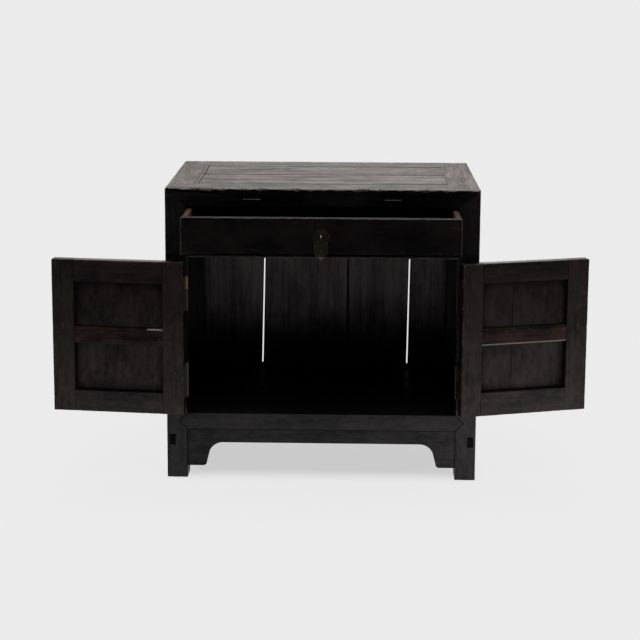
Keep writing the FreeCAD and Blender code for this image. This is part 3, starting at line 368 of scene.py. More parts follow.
class ChestStudio(bpy.types.PropertyGroup):
    """Camera, floor and light."""

    camera_place: bpy.props.FloatVectorProperty(
        name="Camera place",
        description="Where the camera stands",
        subtype="XYZ",
        unit="LENGTH",
        default=(0.0661, -4.1256, 1.2633),
    )
    pan: number_setting("Pan", "Turn of the camera to the right", math.radians(-1.510), unit="ROTATION")
    tilt: number_setting("Tilt", "How far the camera looks down", math.radians(10.005), unit="ROTATION")
    roll: number_setting("Roll", "How far the camera leans", math.radians(-0.217), unit="ROTATION")
    lens: number_setting("Lens", "Focal length in millimetres", 94.24)
    sensor: number_setting("Sensor", "Width of the camera's sensor in millimetres", 36.0)
    rise: number_setting("Framing up", "Shift of the picture up from the lens axis", -0.1222)
    aside: number_setting("Framing aside", "Shift of the picture to the right of the lens axis", 0.0207)
    backdrop: number_setting("Backdrop", "Brightness of the pale backdrop and floor", 0.831)
    room: number_setting("Room", "Brightness of the room on the camera's side, as the chest sees it", 0.012)
    # The floor's glow for the chest is painted light: the floor emits the light that the chest gets from it
    floor_glow: number_setting(
        "Floor brightness", "Brightness of the floor near the chest, as the chest sees it", 0.57
    )
    floor_size: length_setting("Floor size", "Width of the floor", 30.0)
    panel_size: length_setting("Light panel size", "Width of the soft light overhead", 4.0)
    panel_height: length_setting("Light panel height", "Height of the soft light above the floor", 3.2)
    panel_ahead: length_setting(
        "Light panel ahead", "How far the soft light hangs in front of the chest's middle", 0.5
    )
    panel_power: number_setting("Light panel power", "Power of the soft light", 100.0, unit="POWER")


class Wire:
    """One socket of a node tree. Sums on it add Math nodes."""

    def __init__(self, sheet, socket):
        self.sheet = sheet
        self.socket = socket

    def maths(self, operation, first, second):
        return self.sheet.node("ShaderNodeMath", {"operation": operation}, {0: first, 1: second})

    def __add__(self, other):
        return self.maths("ADD", self, other)

    __radd__ = __add__

    def __sub__(self, other):
        return self.maths("SUBTRACT", self, other)

    def __rsub__(self, other):
        return self.maths("SUBTRACT", other, self)

    def __mul__(self, other):
        return self.maths("MULTIPLY", self, other)

    __rmul__ = __mul__

    def __abs__(self):
        return self.maths("ABSOLUTE", self, 0.0)

    def larger(self, other):
        return self.maths("MAXIMUM", self, other)

    def swing(self):
        """How far a pattern lies off its middle."""
        return self - 0.5


class Sheet:
    """A node tree and the few ways in which nodes are added to it."""

    def __init__(self, tree):
        self.tree = tree
        tree.nodes.clear()

    def node(self, kind, settings=None, sockets=None, output=0):
        """Adds a node of a kind, sets it up, then fills its sockets with values or links."""
        made = self.tree.nodes.new(kind)
        for name, value in (settings or {}).items():
            setattr(made, name, value)
        for name, value in (sockets or {}).items():
            if isinstance(value, Wire):
                self.tree.links.new(value.socket, made.inputs[name])
            else:
                made.inputs[name].default_value = value
        return Wire(self, made.outputs[output]) if made.outputs else None

    def vectors(self, operation, first, second, output="Vector"):
        return self.node("ShaderNodeVectorMath", {"operation": operation}, {0: first, 1: second}, output)

    def attribute(self, name, output="Vector"):
        return self.node("ShaderNodeAttribute", {"attribute_name": name}, {}, output)

    def part(self, vector, axis):
        """One part of a vector, along the axis X, Y or Z."""
        return self.node("ShaderNodeSeparateXYZ", {}, {0: vector}, axis)

    def noise(self, place, pattern, fine=1.0):
        """One of the patterns, drawn so much finer."""
        pitch, detail, roughness, distortion = pattern
        sockets = {
            "Vector": self.vectors("MULTIPLY", place, [times * fine for times in pitch]),
            "Scale": 1.0,
            "Detail": detail,
            "Roughness": roughness,
            "Distortion": distortion,
        }
        return self.node("ShaderNodeTexNoise", {}, sockets)

    def step(self, value, low, high):
        """A smooth step from 0 at low to 1 at high."""
        sockets = {"Value": value, "From Min": low, "From Max": high}
        return self.node("ShaderNodeMapRange", {"interpolation_type": "SMOOTHSTEP"}, sockets)

    def mix(self, share, first, second):
        """A colour that goes from the first to the second."""
        return self.node("ShaderNodeMix", {"data_type": "RGBA"}, {0: share, 6: first, 7: second}, 2)

    def arris(self, reach):
        """How near a point is to an outer corner of its outline, from 0 to 1."""
        depth = self.vectors("MINIMUM", self.attribute(FROM_LOW), self.attribute(FROM_HIGH))
        steps = {0: depth, 1: (-1 / reach,) * 3, 2: (1.0, 1.0, 1.0)}
        near = self.node("ShaderNodeVectorMath", {"operation": "MULTIPLY_ADD"}, steps)
        kept = self.vectors("MAXIMUM", near, (0.0, 0.0, 0.0))
        x, y, z = [self.part(kept, axis) for axis in "XYZ"]
        return x * y + y * z + z * x

    def edges(self, reach):
        """How near a point is to an edge of its mesh, from 0 to 1."""
        rounded = self.node("ShaderNodeBevel", {"samples": 6}, {"Radius": reach})
        flat = self.node("ShaderNodeNewGeometry", output="Normal")
        same = self.vectors("DOT_PRODUCT", rounded, flat, "Value")
        return self.step(1 - same, *EDGE_RUB)

    def surface(self, strength, distance, height, sockets):
        """Ends a material in a shader with these sockets, over bumps of a height."""
        bumps = {"Strength": strength, "Distance": distance, "Height": height}
        normal = self.node("ShaderNodeBump", {}, bumps)
        shader = self.node("ShaderNodeBsdfPrincipled", {}, {**sockets, "Normal": normal})
        self.node("ShaderNodeOutputMaterial", {}, {"Surface": shader})


def new_finish(name):
    material = bpy.data.materials.new(name)
    material.use_nodes = True
    return material, Sheet(material.node_tree)


def rgba(colour, share=1.0):
    return (*[part * share for part in colour], 1.0)


def wood_finish(
    name,
    dark,
    light,
    wear=0.6,
    gloss=0.6,
    rough=0.4,
    relief=0.3,
    figure=1.0,
    fine=1.0,
    mottle=1.0,
    painted_shade=0.0,
    darkened=None,
    bare=None,
):
    """Wood with grain along its boards under uneven lacquer, its outer edges rubbed through.

    wear is how much of each edge is rubbed, gloss how much lacquer is left, rough the roughness of
    the wood, relief the height of its grain, figure the strength of its grain and fine how close it
    is, mottle the strength of its stains, grime the strength of the painted shade along its borders,
    soiled the two heights above its lower side between which it goes from no painted shade to the
    full painted shade, darker towards the bottom, and bare the colour where it is rubbed.
    """
    wood = bpy.context.scene.chest_wood
    bare = bare or wood.rubbed
    material, sheet = new_finish(name)
    place = sheet.attribute(GRAIN)
    end = sheet.attribute(END_GRAIN, "Fac")
    wave = sheet.noise(place, WAVE, fine)
    streak, fibre, cloud, patch, scuff = [
        sheet.noise(place, pattern) for pattern in (STREAK, FIBRE, CLOUD, PATCH, SCUFF)
    ]
    edge = sheet.arris(wood.rub_reach)
    border = sheet.arris(wood.painted_shade_reach)
    # dirt here is painted shade: the wood darkens along the borders of its outline, where the frame round it
    # shades it
    dirt = sheet.step(border + patch.swing() * 0.5, 0.0, 1.0) * painted_shade
    # Painted shade, where two heights are given: the wood darkens towards its lower side
    if darkened:
        above = sheet.part(sheet.attribute(FROM_LOW), "Z")
        dirt = dirt.larger(sheet.step(above + cloud.swing() * SHADE_WAVER, *darkened) * painted_shade)

    grain = (wave.swing() + streak.swing()) * figure
    stain = (cloud.swing() * 1.1 + patch.swing() * 0.5) * mottle
    tone = sheet.step((0.5 + grain + stain) * (1 - end * 0.6), *TONE_RANGE)
    lacquer = sheet.mix(tone, rgba(dark), rgba(light))
    rub = sheet.step(edge * wear * 1.2 + patch.swing() * 1.5, *RUB_RANGE)
    ding = sheet.step(scuff + cloud.swing() * 0.35 + border * 0.1, *DING_RANGE) * (0.5 * wear)
    worn = sheet.mix(streak, rgba(bare, 0.4), rgba(bare))
    rubbed = sheet.mix(rub * 0.9 + ding * (1 - rub), lacquer, worn)
    nap = fibre.swing() * 0.3 + patch.swing() * 0.5
    skin = (gloss + (grain + stain) * 0.7 + nap) * (1 - rub * 0.6) * (1 - end * 0.4)
    height = streak * 0.6 + fibre * 0.4 + wave * 0.5 - ding * 0.6 - rub * 0.3
    sockets = {
        "Base Color": sheet.mix(dirt, rubbed, rgba(wood.lacquer_dark, 0.5)),
        "Roughness": rough + cloud.swing() * 0.22 + streak.swing() * 0.16 + rub * 0.16,
        "Specular IOR Level": 0.12,
        "Coat Weight": sheet.step(skin * (1 - dirt * 0.7), 0.0, 1.0),
        "Coat Roughness": wood.coat_roughness,
    }
    sheet.surface(relief, GRAIN_HEIGHT, height, sockets)
    return material


def lacquer_finish(name, **look):
    """Outer lacquer of the chest."""
    wood = bpy.context.scene.chest_wood
    return wood_finish(name, wood.lacquer_dark, wood.lacquer_light, **look)


def bare_finish(name):
    """Unlacquered wood of the drawer, its runners and the battens."""
    wood = bpy.context.scene.chest_wood
    return wood_finish(name, wood.bare_dark, wood.bare_light, wear=0.2, gloss=0.1, rough=0.7)


def joint_finish():
    """Old dirt in the eased edges of the joints."""
    if "joint_dirt" in bpy.data.materials:
        return bpy.data.materials["joint_dirt"]
    wood = bpy.context.scene.chest_wood
    material, sheet = new_finish("joint_dirt")
    grit = sheet.noise(sheet.attribute(GRAIN), GRIT)
    sockets = {
        "Base Color": sheet.mix(grit, rgba(wood.lacquer_dark, 0.5), rgba(wood.lacquer_light)),
        "Roughness": 0.7 + grit * 0.25,
        "Specular IOR Level": 0.05,
    }
    sheet.surface(0.4, GRIT_HEIGHT, grit, sockets)
    return material


def metal_finish(name, film, clean, bared, reach, cleaned=None, barrel=None):
    """Old metal under a dull film, clean on its edges; bared is how much of it is clean.

    cleaned gives two heights, where the rubbing starts and where the piece is all clean. barrel gives
    a point on an upright pin and the distance from it within which that rubbing stays.
    """
    material, sheet = new_finish(name)
    place = sheet.node("ShaderNodeTexCoord", output="Object")
    cloud = sheet.noise(place, TARNISH)
    speck = sheet.noise(place, SPECK)
    film_left, film_gone = CLEAN_RANGE
    rubbing = cloud + sheet.edges(reach) * 0.4 + speck.swing() * 0.3
    share = sheet.step(rubbing, film_left - bared, film_gone - bared)
    if cleaned:
        rubbed = sheet.step(sheet.part(place, "Z"), *cleaned)
        if barrel:
            pin, radius = barrel
            level = sheet.vectors("MULTIPLY", place, (1.0, 1.0, 0.0))
            away = sheet.vectors("DISTANCE", level, (pin.x, pin.y, 0.0), "Value")
            rubbed = rubbed * sheet.step(away, radius * BARREL_FADE, radius)
        share = share.larger(rubbed)
    sockets = {
        "Base Color": sheet.mix(share, rgba(film), rgba(clean)),
        "Roughness": 0.5 - share * 0.2 + speck.swing() * 0.15,
        "Metallic": 0.35 + share * 0.6,
    }
    sheet.surface(0.2, TARNISH_HEIGHT, cloud + speck * 0.4, sockets)
    return material


def linked(name, data):
    """A new object in the scene that holds some data."""
    made = bpy.data.objects.new(name, data)
    bpy.context.scene.collection.objects.link(made)
    return made


def mesh_from(solid, name):
    """A new mesh of a solid, which is freed."""
    mesh = bpy.data.meshes.new(name)
    solid.to_mesh(mesh)
    solid.free()
    return mesh


def body_of(node):
    return frame["nodes"][node]["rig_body"]


def hinge_of(body):
    """The joint that a door turns on; none for any other body."""
    for joint in frame["joints"]:
        if joint["child"] == body and body.endswith("_door"):
            return joint
    return None


def shut_turn(body):
    """The turn that shuts a door from where it rests; no turn for any other body."""
    hinge = hinge_of(body)
    if not hinge:
        return Matrix.Identity(4)
    pin = Matrix.Translation(hinge["pos_m"])
    turn = Matrix.Rotation(math.radians(hinge["range_deg"][0]), 4, Vector(hinge["axis"]))
    return pin @ turn @ pin.inverted()


def outline_of(nodes, turn=Matrix.Identity(4)):
    """Lowest and highest corner of some nodes after a turn."""
    points = [turn @ vertex.co for node in nodes for vertex in frame["nodes"][node].data.vertices]
    low = Vector([min(point[axis] for point in points) for axis in range(3)])
    high = Vector([max(point[axis] for point in points) for axis in range(3)])
    return low, high


def part_boards(solid):
    """Moves boards that touch side by side a hair apart, so that welding leaves them separate."""

    def sides(way):
        faces = [face for face in solid.faces if face.normal.x * way > FACING]
        return {round(face.calc_center_median().x, SIDE_DIGITS) for face in faces}

    for joint in sides(1) & sides(-1):
        beside = [
            face
            for face in solid.faces
            if (face.calc_center_median() - face.normal * OUTLINE_GAP).x < joint
        ]
        for vertex in {vertex for face in beside for vertex in face.verts}:
            vertex.co.x -= HAIR


def close_joint(solid, axis):
    """Closes a narrow joint between two boards along an axis, so that no light shows through it."""
    befores = [face for face in solid.faces if face.normal[axis] > FACING]
    afters = [face for face in solid.faces if face.normal[axis] < -FACING]
    for before in befores:
        for after in afters:
            gap = after.calc_center_median()[axis] - before.calc_center_median()[axis]
            if HAIR < gap < NARROW_JOINT:
                for vertex in before.verts:
                    vertex.co[axis] += gap - HAIR


def welded(node, touching=False):
    """A node's solid, with its triangles joined back into flat faces."""
    solid = bmesh.new()
    solid.from_mesh(frame["nodes"][node].data)
    if touching:
        part_boards(solid)
    bmesh.ops.remove_doubles(solid, verts=solid.verts, dist=WELD_GAP)
    bmesh.ops.dissolve_limit(
        solid,
        angle_limit=FLAT_TURN,
        use_dissolve_boundaries=False,
        verts=solid.verts,
        edges=solid.edges,
    )
    return solid


def depth_in(point, axis, outline):
    """How deep a point lies in an outline along an axis, and from which side that is measured."""
    low, high = outline
    from_low = point[axis] - low[axis]
    from_high = high[axis] - point[axis]
    return (from_low, 1.0) if from_low < from_high else (from_high, -1.0)


def is_sharp(edge):
    return edge.is_manifold and edge.is_convex and edge.calc_face_angle() > SHARP_TURN


def on_arris(edge, outline):
    """True where an edge runs along an outer corner of the outline."""
    middle = (edge.verts[0].co + edge.verts[1].co) / 2
    return sum(depth_in(middle, axis, outline)[0] < OUTLINE_GAP for axis in range(3)) >= 2


def eased_mesh(solid, outline, wood, joint):
    """The solid's mesh with its outer arrises rounded and its joint edges just broken."""
    for edge in [edge for edge in solid.edges if is_sharp(edge) and on_arris(edge, outline)]:
        cuts = int(edge.calc_length() / wood.chip_pitch)
        if cuts > 0:
            bmesh.ops.subdivide_edges(solid, edges=[edge], cuts=cuts)
    weight = solid.edges.layers.float.new("bevel_weight_edge")
    for edge in solid.edges:
        if is_sharp(edge):
            edge[weight] = 1.0 if on_arris(edge, outline) else joint / wood.arris
    draft_mesh = mesh_from(solid, "draft")
    # One slot for the piece's own finish and one for its joints, both filled later
    draft_mesh.materials.append(None)
    draft_mesh.materials.append(None)
    draft = linked("draft", draft_mesh)
    ease = draft.modifiers.new("ease", "BEVEL")
    ease.limit_method = "WEIGHT"
    ease.width = wood.arris
    ease.segments = EASE_STEPS
    ease.use_clamp_overlap = False
    ease.material = JOINT_SLOT
    view = bpy.context.evaluated_depsgraph_get()
    mesh = bpy.data.meshes.new_from_object(draft.evaluated_get(view))
    bpy.data.objects.remove(draft)
    bpy.data.meshes.remove(draft_mesh)
    return mesh


def dent(mesh, outline, wood, chips):
    """Deepens the rounding of the outer arrises unevenly, as knocks do; chips is how strongly."""
    reach = wood.arris * DENT_REACH
    for vertex in mesh.vertices:
        depths = [depth_in(vertex.co, axis, outline) for axis in range(3)]
        near = [axis for axis in range(3) if depths[axis][0] < reach]
        if len(near) < 2:
            continue
        swell = max(0.0, noise.noise(vertex.co * SWELL_PITCH) + SWELL_LIFT)
        knock = max(0.0, noise.noise(vertex.co * KNOCK_PITCH) + KNOCK_LIFT)
        deeper = min(chips * (swell + knock), DEEPEST_CHIP)
        for axis in near:
            depth, side = depths[axis]
            vertex.co[axis] += side * depth * deeper


def sort_faces(mesh, outline, wood):
    """Leaves the joint finish on the eased edges that lie off the outer arrises."""
    for face in mesh.polygons:
        depths = [depth_in(face.center, axis, outline)[0] for axis in range(3)]
        if sum(depth < wood.arris * (1 + DEEPEST_CHIP) for depth in depths) >= 2:
            face.material_index = OWN_SLOT


def write_depths(mesh, outline):
    """Stores how far each point lies inside the low and the high sides of an outline."""
    low, high = outline
    for name, corner, way in ((FROM_LOW, low, 1.0), (FROM_HIGH, high, -1.0)):
        depth = mesh.attributes.new(name, "FLOAT_VECTOR", "POINT")
        for vertex in mesh.vertices:
            depth.data[vertex.index].vector = (vertex.co - corner) * way


def islands(mesh):
    """A number for each vertex, the same for all that belong to one solid."""
    group = list(range(len(mesh.vertices)))

    def root(index):
        while group[index] != index:
            group[index] = group[group[index]]
            index = group[index]
        return index

    for edge in mesh.edges:
        group[root(edge.vertices[0])] = root(edge.vertices[1])
    return [root(index) for index in range(len(group))]


def write_grain(mesh, axes, start):
    """Stores each point's place in the grain, shifted so that every board differs."""
    numbers = islands(mesh)
    order = {number: count for count, number in enumerate(sorted(set(numbers)))}
    place = mesh.attributes.new(GRAIN, "FLOAT_VECTOR", "POINT")
    for vertex, number in zip(mesh.vertices, numbers):
        shift = BOARD_SHIFT * (start + order[number])
        place.data[vertex.index].vector = Vector([vertex.co[axis] for axis in axes]) + shift
    end = mesh.attributes.new(END_GRAIN, "FLOAT", "FACE")
    for face in mesh.polygons:
        end.data[face.index].value = abs(face.normal[axes[0]])


def show(name, mesh, materials, node):
    """Links a piece that stands for a node or belongs to it, riding on that node's body."""
    for number, material in enumerate(materials):
        if number < len(mesh.materials):
            mesh.materials[number] = material
        else:
            mesh.materials.append(material)
    piece = linked(name, mesh)
    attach(piece, body_of(node))
    return piece


def slot_of(node):
    for part in frame["record"]["subparts"]:
        if part["node"] == node:
            return part["material_slot"]
    raise ValueError("no material slot for " + node)


def worn_board(
    node, axes, material, outline_nodes, chips, joint=None, touching=False, closed=None, cuts=()
):
    """Shows a wooden node with rounded, dented arrises, dark joints and grain along its length.

    chips is how strongly it is dented, joint the easing of its joint edges, touching whether its boards
    touch, and closed the axis across which they are brought together. cuts are the points and normals
    of planes that divide its faces, for a finish that starts there.
    """
    wood = bpy.context.scene.chest_wood
    turn = shut_turn(body_of(node))
    outline = outline_of(outline_nodes, turn)
    solid = welded(node, touching)
    solid.transform(turn)
    solid.normal_update()
    if closed is not None:
        close_joint(solid, closed)
    for point, normal in cuts:
        pieces = [*solid.verts, *solid.edges, *solid.faces]
        bmesh.ops.bisect_plane(solid, geom=pieces, plane_co=point, plane_no=normal)
    mesh = eased_mesh(solid, outline, wood, joint or wood.joint_ease)
    dent(mesh, outline, wood, chips)
    sort_faces(mesh, outline, wood)
    write_depths(mesh, outline)
    write_grain(mesh, axes, sorted(frame["nodes"]).index(node) * BOARDS_IN_NODE)
    mesh.transform(turn.inverted())
    piece = show("worn_" + node, mesh, [material, joint_finish()], node)
    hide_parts(node)
    slot_of(node)
    return piece


def paint(piece, material, chosen):
    """Gives the chosen faces of a piece another finish."""
    piece.data.materials.append(material)
    for face in piece.data.polygons:
        if chosen(face):
            face.material_index = len(piece.data.materials) - 1


def wear_joints(piece):
    """Gives the eased upper edges of a piece's joints its own wood instead of dirt."""
    for face in piece.data.polygons:
        if face.material_index == JOINT_SLOT and face.normal.z > RISING:
            face.material_index = OWN_SLOT


def looks_inwards(face):
    """Tells faces that look towards the chest's middle."""
    return face.normal.x * face.center.x + face.normal.y * face.center.y < -INWARDS


def looks_aside(face):
    """Tells faces that look to the outside or down."""
    return face.normal.z < RISING and not looks_inwards(face)


def looks_up(face):
    return face.normal.z > FACING


def slopes_up(face):
    return face.normal.z > SLOPING


def slopes_down(face):
    return face.normal.z < -SLOPING


def looks_ahead(face):
    return face.normal.y < -FACING


def looks_back(face):
    return face.normal.y > FACING


def upper_corners(node):
    """The corners of a node's upper face."""
    corners = [vertex.co for vertex in frame["nodes"][node].data.vertices]
    level = max(corner.z for corner in corners)
    return [corner for corner in corners if corner.z > level - OUTLINE_GAP]


def metal_piece(node, material):
    """Gives a metal node its finish."""
    mesh = frame["nodes"][node].data
    mesh.materials.clear()
    mesh.materials.append(material)


def filed_piece(node, material, ease):
    """Shows a metal node with its sharp edges filed round."""
    solid = welded(node)
    bmesh.ops.bevel(
        solid,
        geom=[edge for edge in solid.edges if is_sharp(edge)],
        offset=ease,
        segments=EASE_STEPS,
        profile=0.5,
        affect="EDGES",
        clamp_overlap=True,
    )
    piece = show("filed_" + node, mesh_from(solid, node), [material], node)
    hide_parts(node)
    slot_of(node)


class ChestTop(bpy.types.Operator):
    """Make the mitred top frame, its boards and battens"""

    bl_idname = "chest.make_top"
    bl_label = "Top"

    def execute(self, context):
        wood = context.scene.chest_wood
        worn = {
            "dark": wood.top_dark,
            "light": wood.top_light,
            "wear": 0.9,
            "relief": 0.5,
            "fine": 2.6,
            "mottle": 0.9,
            "bare": wood.pale_wear_and_painted_light,
        }
        rail_wood = wood_finish("worn_top_rails", gloss=0.28, figure=1.2, **worn)
        end_wood = wood_finish("worn_top_ends", gloss=0.18, figure=1.0, **worn)
        board_wood = wood_finish("worn_top_boards", gloss=0.34, rough=0.45, figure=1.5, **worn)
        edge_lacquer = lacquer_finish("top_edge_lacquer", wear=0.25, gloss=0.4)
        batten_wood = bare_finish("top_batten_wood")
        # Pale painted light for the top: the highlight line under the tenon ends and the inner walls of the
        # rear and right rails
        pale_painted_light = wood_finish(
            "top_edge_painted_light", wood.painted_line_dark, wood.pale_wear_and_painted_light, wear=0.0, gloss=0.2, rough=0.6, mottle=0.4
        )
        dark_seam_strip = wood_finish(
            "dark_top_seam", wood.lacquer_dark, wood.top_dark, wear=0.0, gloss=0.0, rough=0.8
        )
        self.frame_top(wood, rail_wood, end_wood, edge_lacquer, pale_painted_light, dark_seam_strip)
        for node in ("top_front_board", "top_rear_board"):
            self.lay_board(node, board_wood, dark_seam_strip, wood)
        self.fit_battens(batten_wood, edge_lacquer, pale_painted_light, wood)
        return {"FINISHED"}

    def frame_top(self, wood, rail_wood, end_wood, edge_lacquer, pale_painted_light, dark_seam_strip):
        """The four rails, with a darker strip along the front one's inner edge; the inner walls of the rear
        and right ones are painted pale, painted light over the shade where they step down to the boards.
        """
        inner_edge = max(corner.y for corner in upper_corners("top_front_rail")) - wood.dark_seam_strip
        cuts = [((0, inner_edge, 0), (0, 1, 0))]
        front = worn_board("top_front_rail", ALONG_X, rail_wood, OUTER, chips=2.6, cuts=cuts)
        rear = worn_board("top_rear_rail", ALONG_X, rail_wood, OUTER, chips=2.6)
        left = worn_board("top_left_rail", ALONG_Y, end_wood, OUTER, chips=1.6)
        right = worn_board("top_right_rail", ALONG_Y, end_wood, OUTER, chips=1.6)
        for rail in (front, rear, left, right):
            paint(rail, edge_lacquer, looks_aside)
        # Painted light: the inner walls of the rear and right rails are pale, over the shade of their step
        # down to the boards
        for rail in (rear, right):
            paint(rail, pale_painted_light, looks_inwards)
        paint(front, dark_seam_strip, lambda face: looks_up(face) and face.center.y > inner_edge)

    def lay_board(self, node, board_wood, dark_seam_strip, wood):
        """A board of the top, with a darker strip along the seam at its front edge."""
        seam = min(corner.y for corner in upper_corners(node)) + wood.dark_seam_strip
        cuts = [((0, seam, 0), (0, 1, 0))]
        board = worn_board(node, ALONG_X, board_wood, OUTER, chips=0.5, cuts=cuts)
        wear_joints(board)
        paint(board, dark_seam_strip, lambda face: looks_up(face) and face.center.y < seam)

    def fit_battens(self, batten_wood, edge_lacquer, pale_painted_light, wood):
        """The battens under the top, whose lacquered tenon ends carry a pale line along their lower edges, a
        painted highlight.
        """
        outline = outline_of(OUTER)
        front = outline[0].y + OUTLINE_GAP
        corners = [vertex.co for vertex in frame["nodes"]["top_battens"].data.vertices]
        highlight_line = min(corner.z for corner in corners if corner.y < front) + wood.tenon_highlight
        cuts = [((0, 0, highlight_line), (0, 0, 1))]
        battens = worn_board("top_battens", ALONG_Y, batten_wood, OUTER, chips=0.3, cuts=cuts)

        def at_end(face):
            return depth_in(face.center, 1, outline)[0] < wood.arris

        paint(battens, edge_lacquer, at_end)
        # Painted highlight: a pale line along the lower edge of each tenon end
        paint(battens, pale_painted_light, lambda face: at_end(face) and face.center.z < highlight_line)


class ChestFrame(bpy.types.Operator):
    """Make the posts, the rails between them and the apron"""

    bl_idname = "chest.make_frame"
    bl_label = "Posts, rails and apron"

    def execute(self, context):
        wood = context.scene.chest_wood
        lacquer = lacquer_finish("black_lacquer", wear=0.4, gloss=0.62, figure=0.6, mottle=0.8)
        apron_lacquer = lacquer_finish("apron_lacquer", wear=0.3, gloss=0.52, figure=0.6, mottle=0.8)
        sill = lacquer_finish("dull_sill", wear=0.3, gloss=0.0, rough=0.8)
        tenon_end = lacquer_finish("tenon_end_lacquer", wear=0.0, gloss=0.14, rough=0.7)
        for node in POSTS:
            worn_board(node, ALONG_Z, lacquer, OUTER, chips=0.8)
        for node in ("bottom_front_rail", "bottom_rear_rail"):
            rail = worn_board(node, ALONG_X, lacquer, OUTER, chips=0.8, joint=wood.seam_ease)
            paint(rail, sill, looks_up)
        worn_board("front_apron", ALONG_X, apron_lacquer, OUTER, chips=0.8, joint=wood.seam_ease)
        worn_board("drawer_divider_rail", ALONG_X, lacquer, ["drawer_divider_rail"], chips=0.8)
        for node in ("left_side_rail", "right_side_rail"):
            rail = worn_board(node, ALONG_Y, lacquer, OUTER, chips=0.8)
            paint(rail, tenon_end, looks_ahead)
        for node in ("left_side_panel", "right_side_panel"):
            worn_board(node, ALONG_Z, lacquer, OUTER, chips=0.5, closed=1)
        return {"FINISHED"}


class ChestInside(bpy.types.Operator):
    """Make the back, the floor, and what the drawer runs on"""

    bl_idname = "chest.make_inside"
    bl_label = "Back, floor and runners"

    def execute(self, context):
        wood = context.scene.chest_wood
        # Inside of the back: painted shade along its borders and towards the bottom, on a paler tone that is
        # partly painted light
        dry = wood_finish(
            "dry_boards",
            wood.inner_dark,
            wood.inner_light,
            wear=0.0,
            gloss=0.2,
            rough=0.6,
            relief=0.5,
            figure=0.7,
            mottle=0.6,
            painted_shade=0.9,
            darkened=(wood.unshaded_above, wood.shaded_below),
        )
        weathered = wood_finish(
            "weathered_back",
            wood.outer_back_dark,
            wood.outer_back_light,
            wear=0.3,
            gloss=0.05,
            rough=0.7,
            relief=0.5,
            mottle=0.5,
        )
        grimy = lacquer_finish("grimy_floor", wear=0.3, gloss=0.02, rough=0.8, relief=0.5)
        bare = bare_finish("runner_wood")
        back = worn_board(
            "back_boards", ALONG_Z, dry, ["back_boards"], chips=0.5, joint=wood.back_ease, touching=True
        )
        paint(back, weathered, looks_back)
        worn_board("floor_boards", ALONG_X, grimy, ["floor_boards"], chips=0.5)
        for node in ("left_drawer_runner", "right_drawer_runner", "drawer_guides", "floor_battens"):
            worn_board(node, ALONG_Y, bare, [node], chips=0.3)
        worn_board("drawer_stops", ALONG_X, bare, ["drawer_stops"], chips=0.3)
        return {"FINISHED"}


class ChestDrawer(bpy.types.Operator):
    """Make the drawer's lacquered front and its bare sides, back and bottom"""

    bl_idname = "chest.make_drawer"
    bl_label = "Drawer"

    def execute(self, context):
        wood = context.scene.chest_wood
        tones = (wood.lacquer_dark, wood.drawer_light)
        lacquer = wood_finish("drawer_lacquer", *tones, wear=0.35, gloss=0.42, figure=0.4, mottle=1.3)
        bare = bare_finish("drawer_wood")
        worn_board("drawer_front", ALONG_X, lacquer, ["drawer_front"], chips=0.9)
        for node in ("drawer_left_side", "drawer_right_side"):
            worn_board(node, ALONG_Y, bare, [node], chips=0.4)
        for node in ("drawer_back", "drawer_bottom"):
            worn_board(node, ALONG_X, bare, [node], chips=0.3)
        return {"FINISHED"}


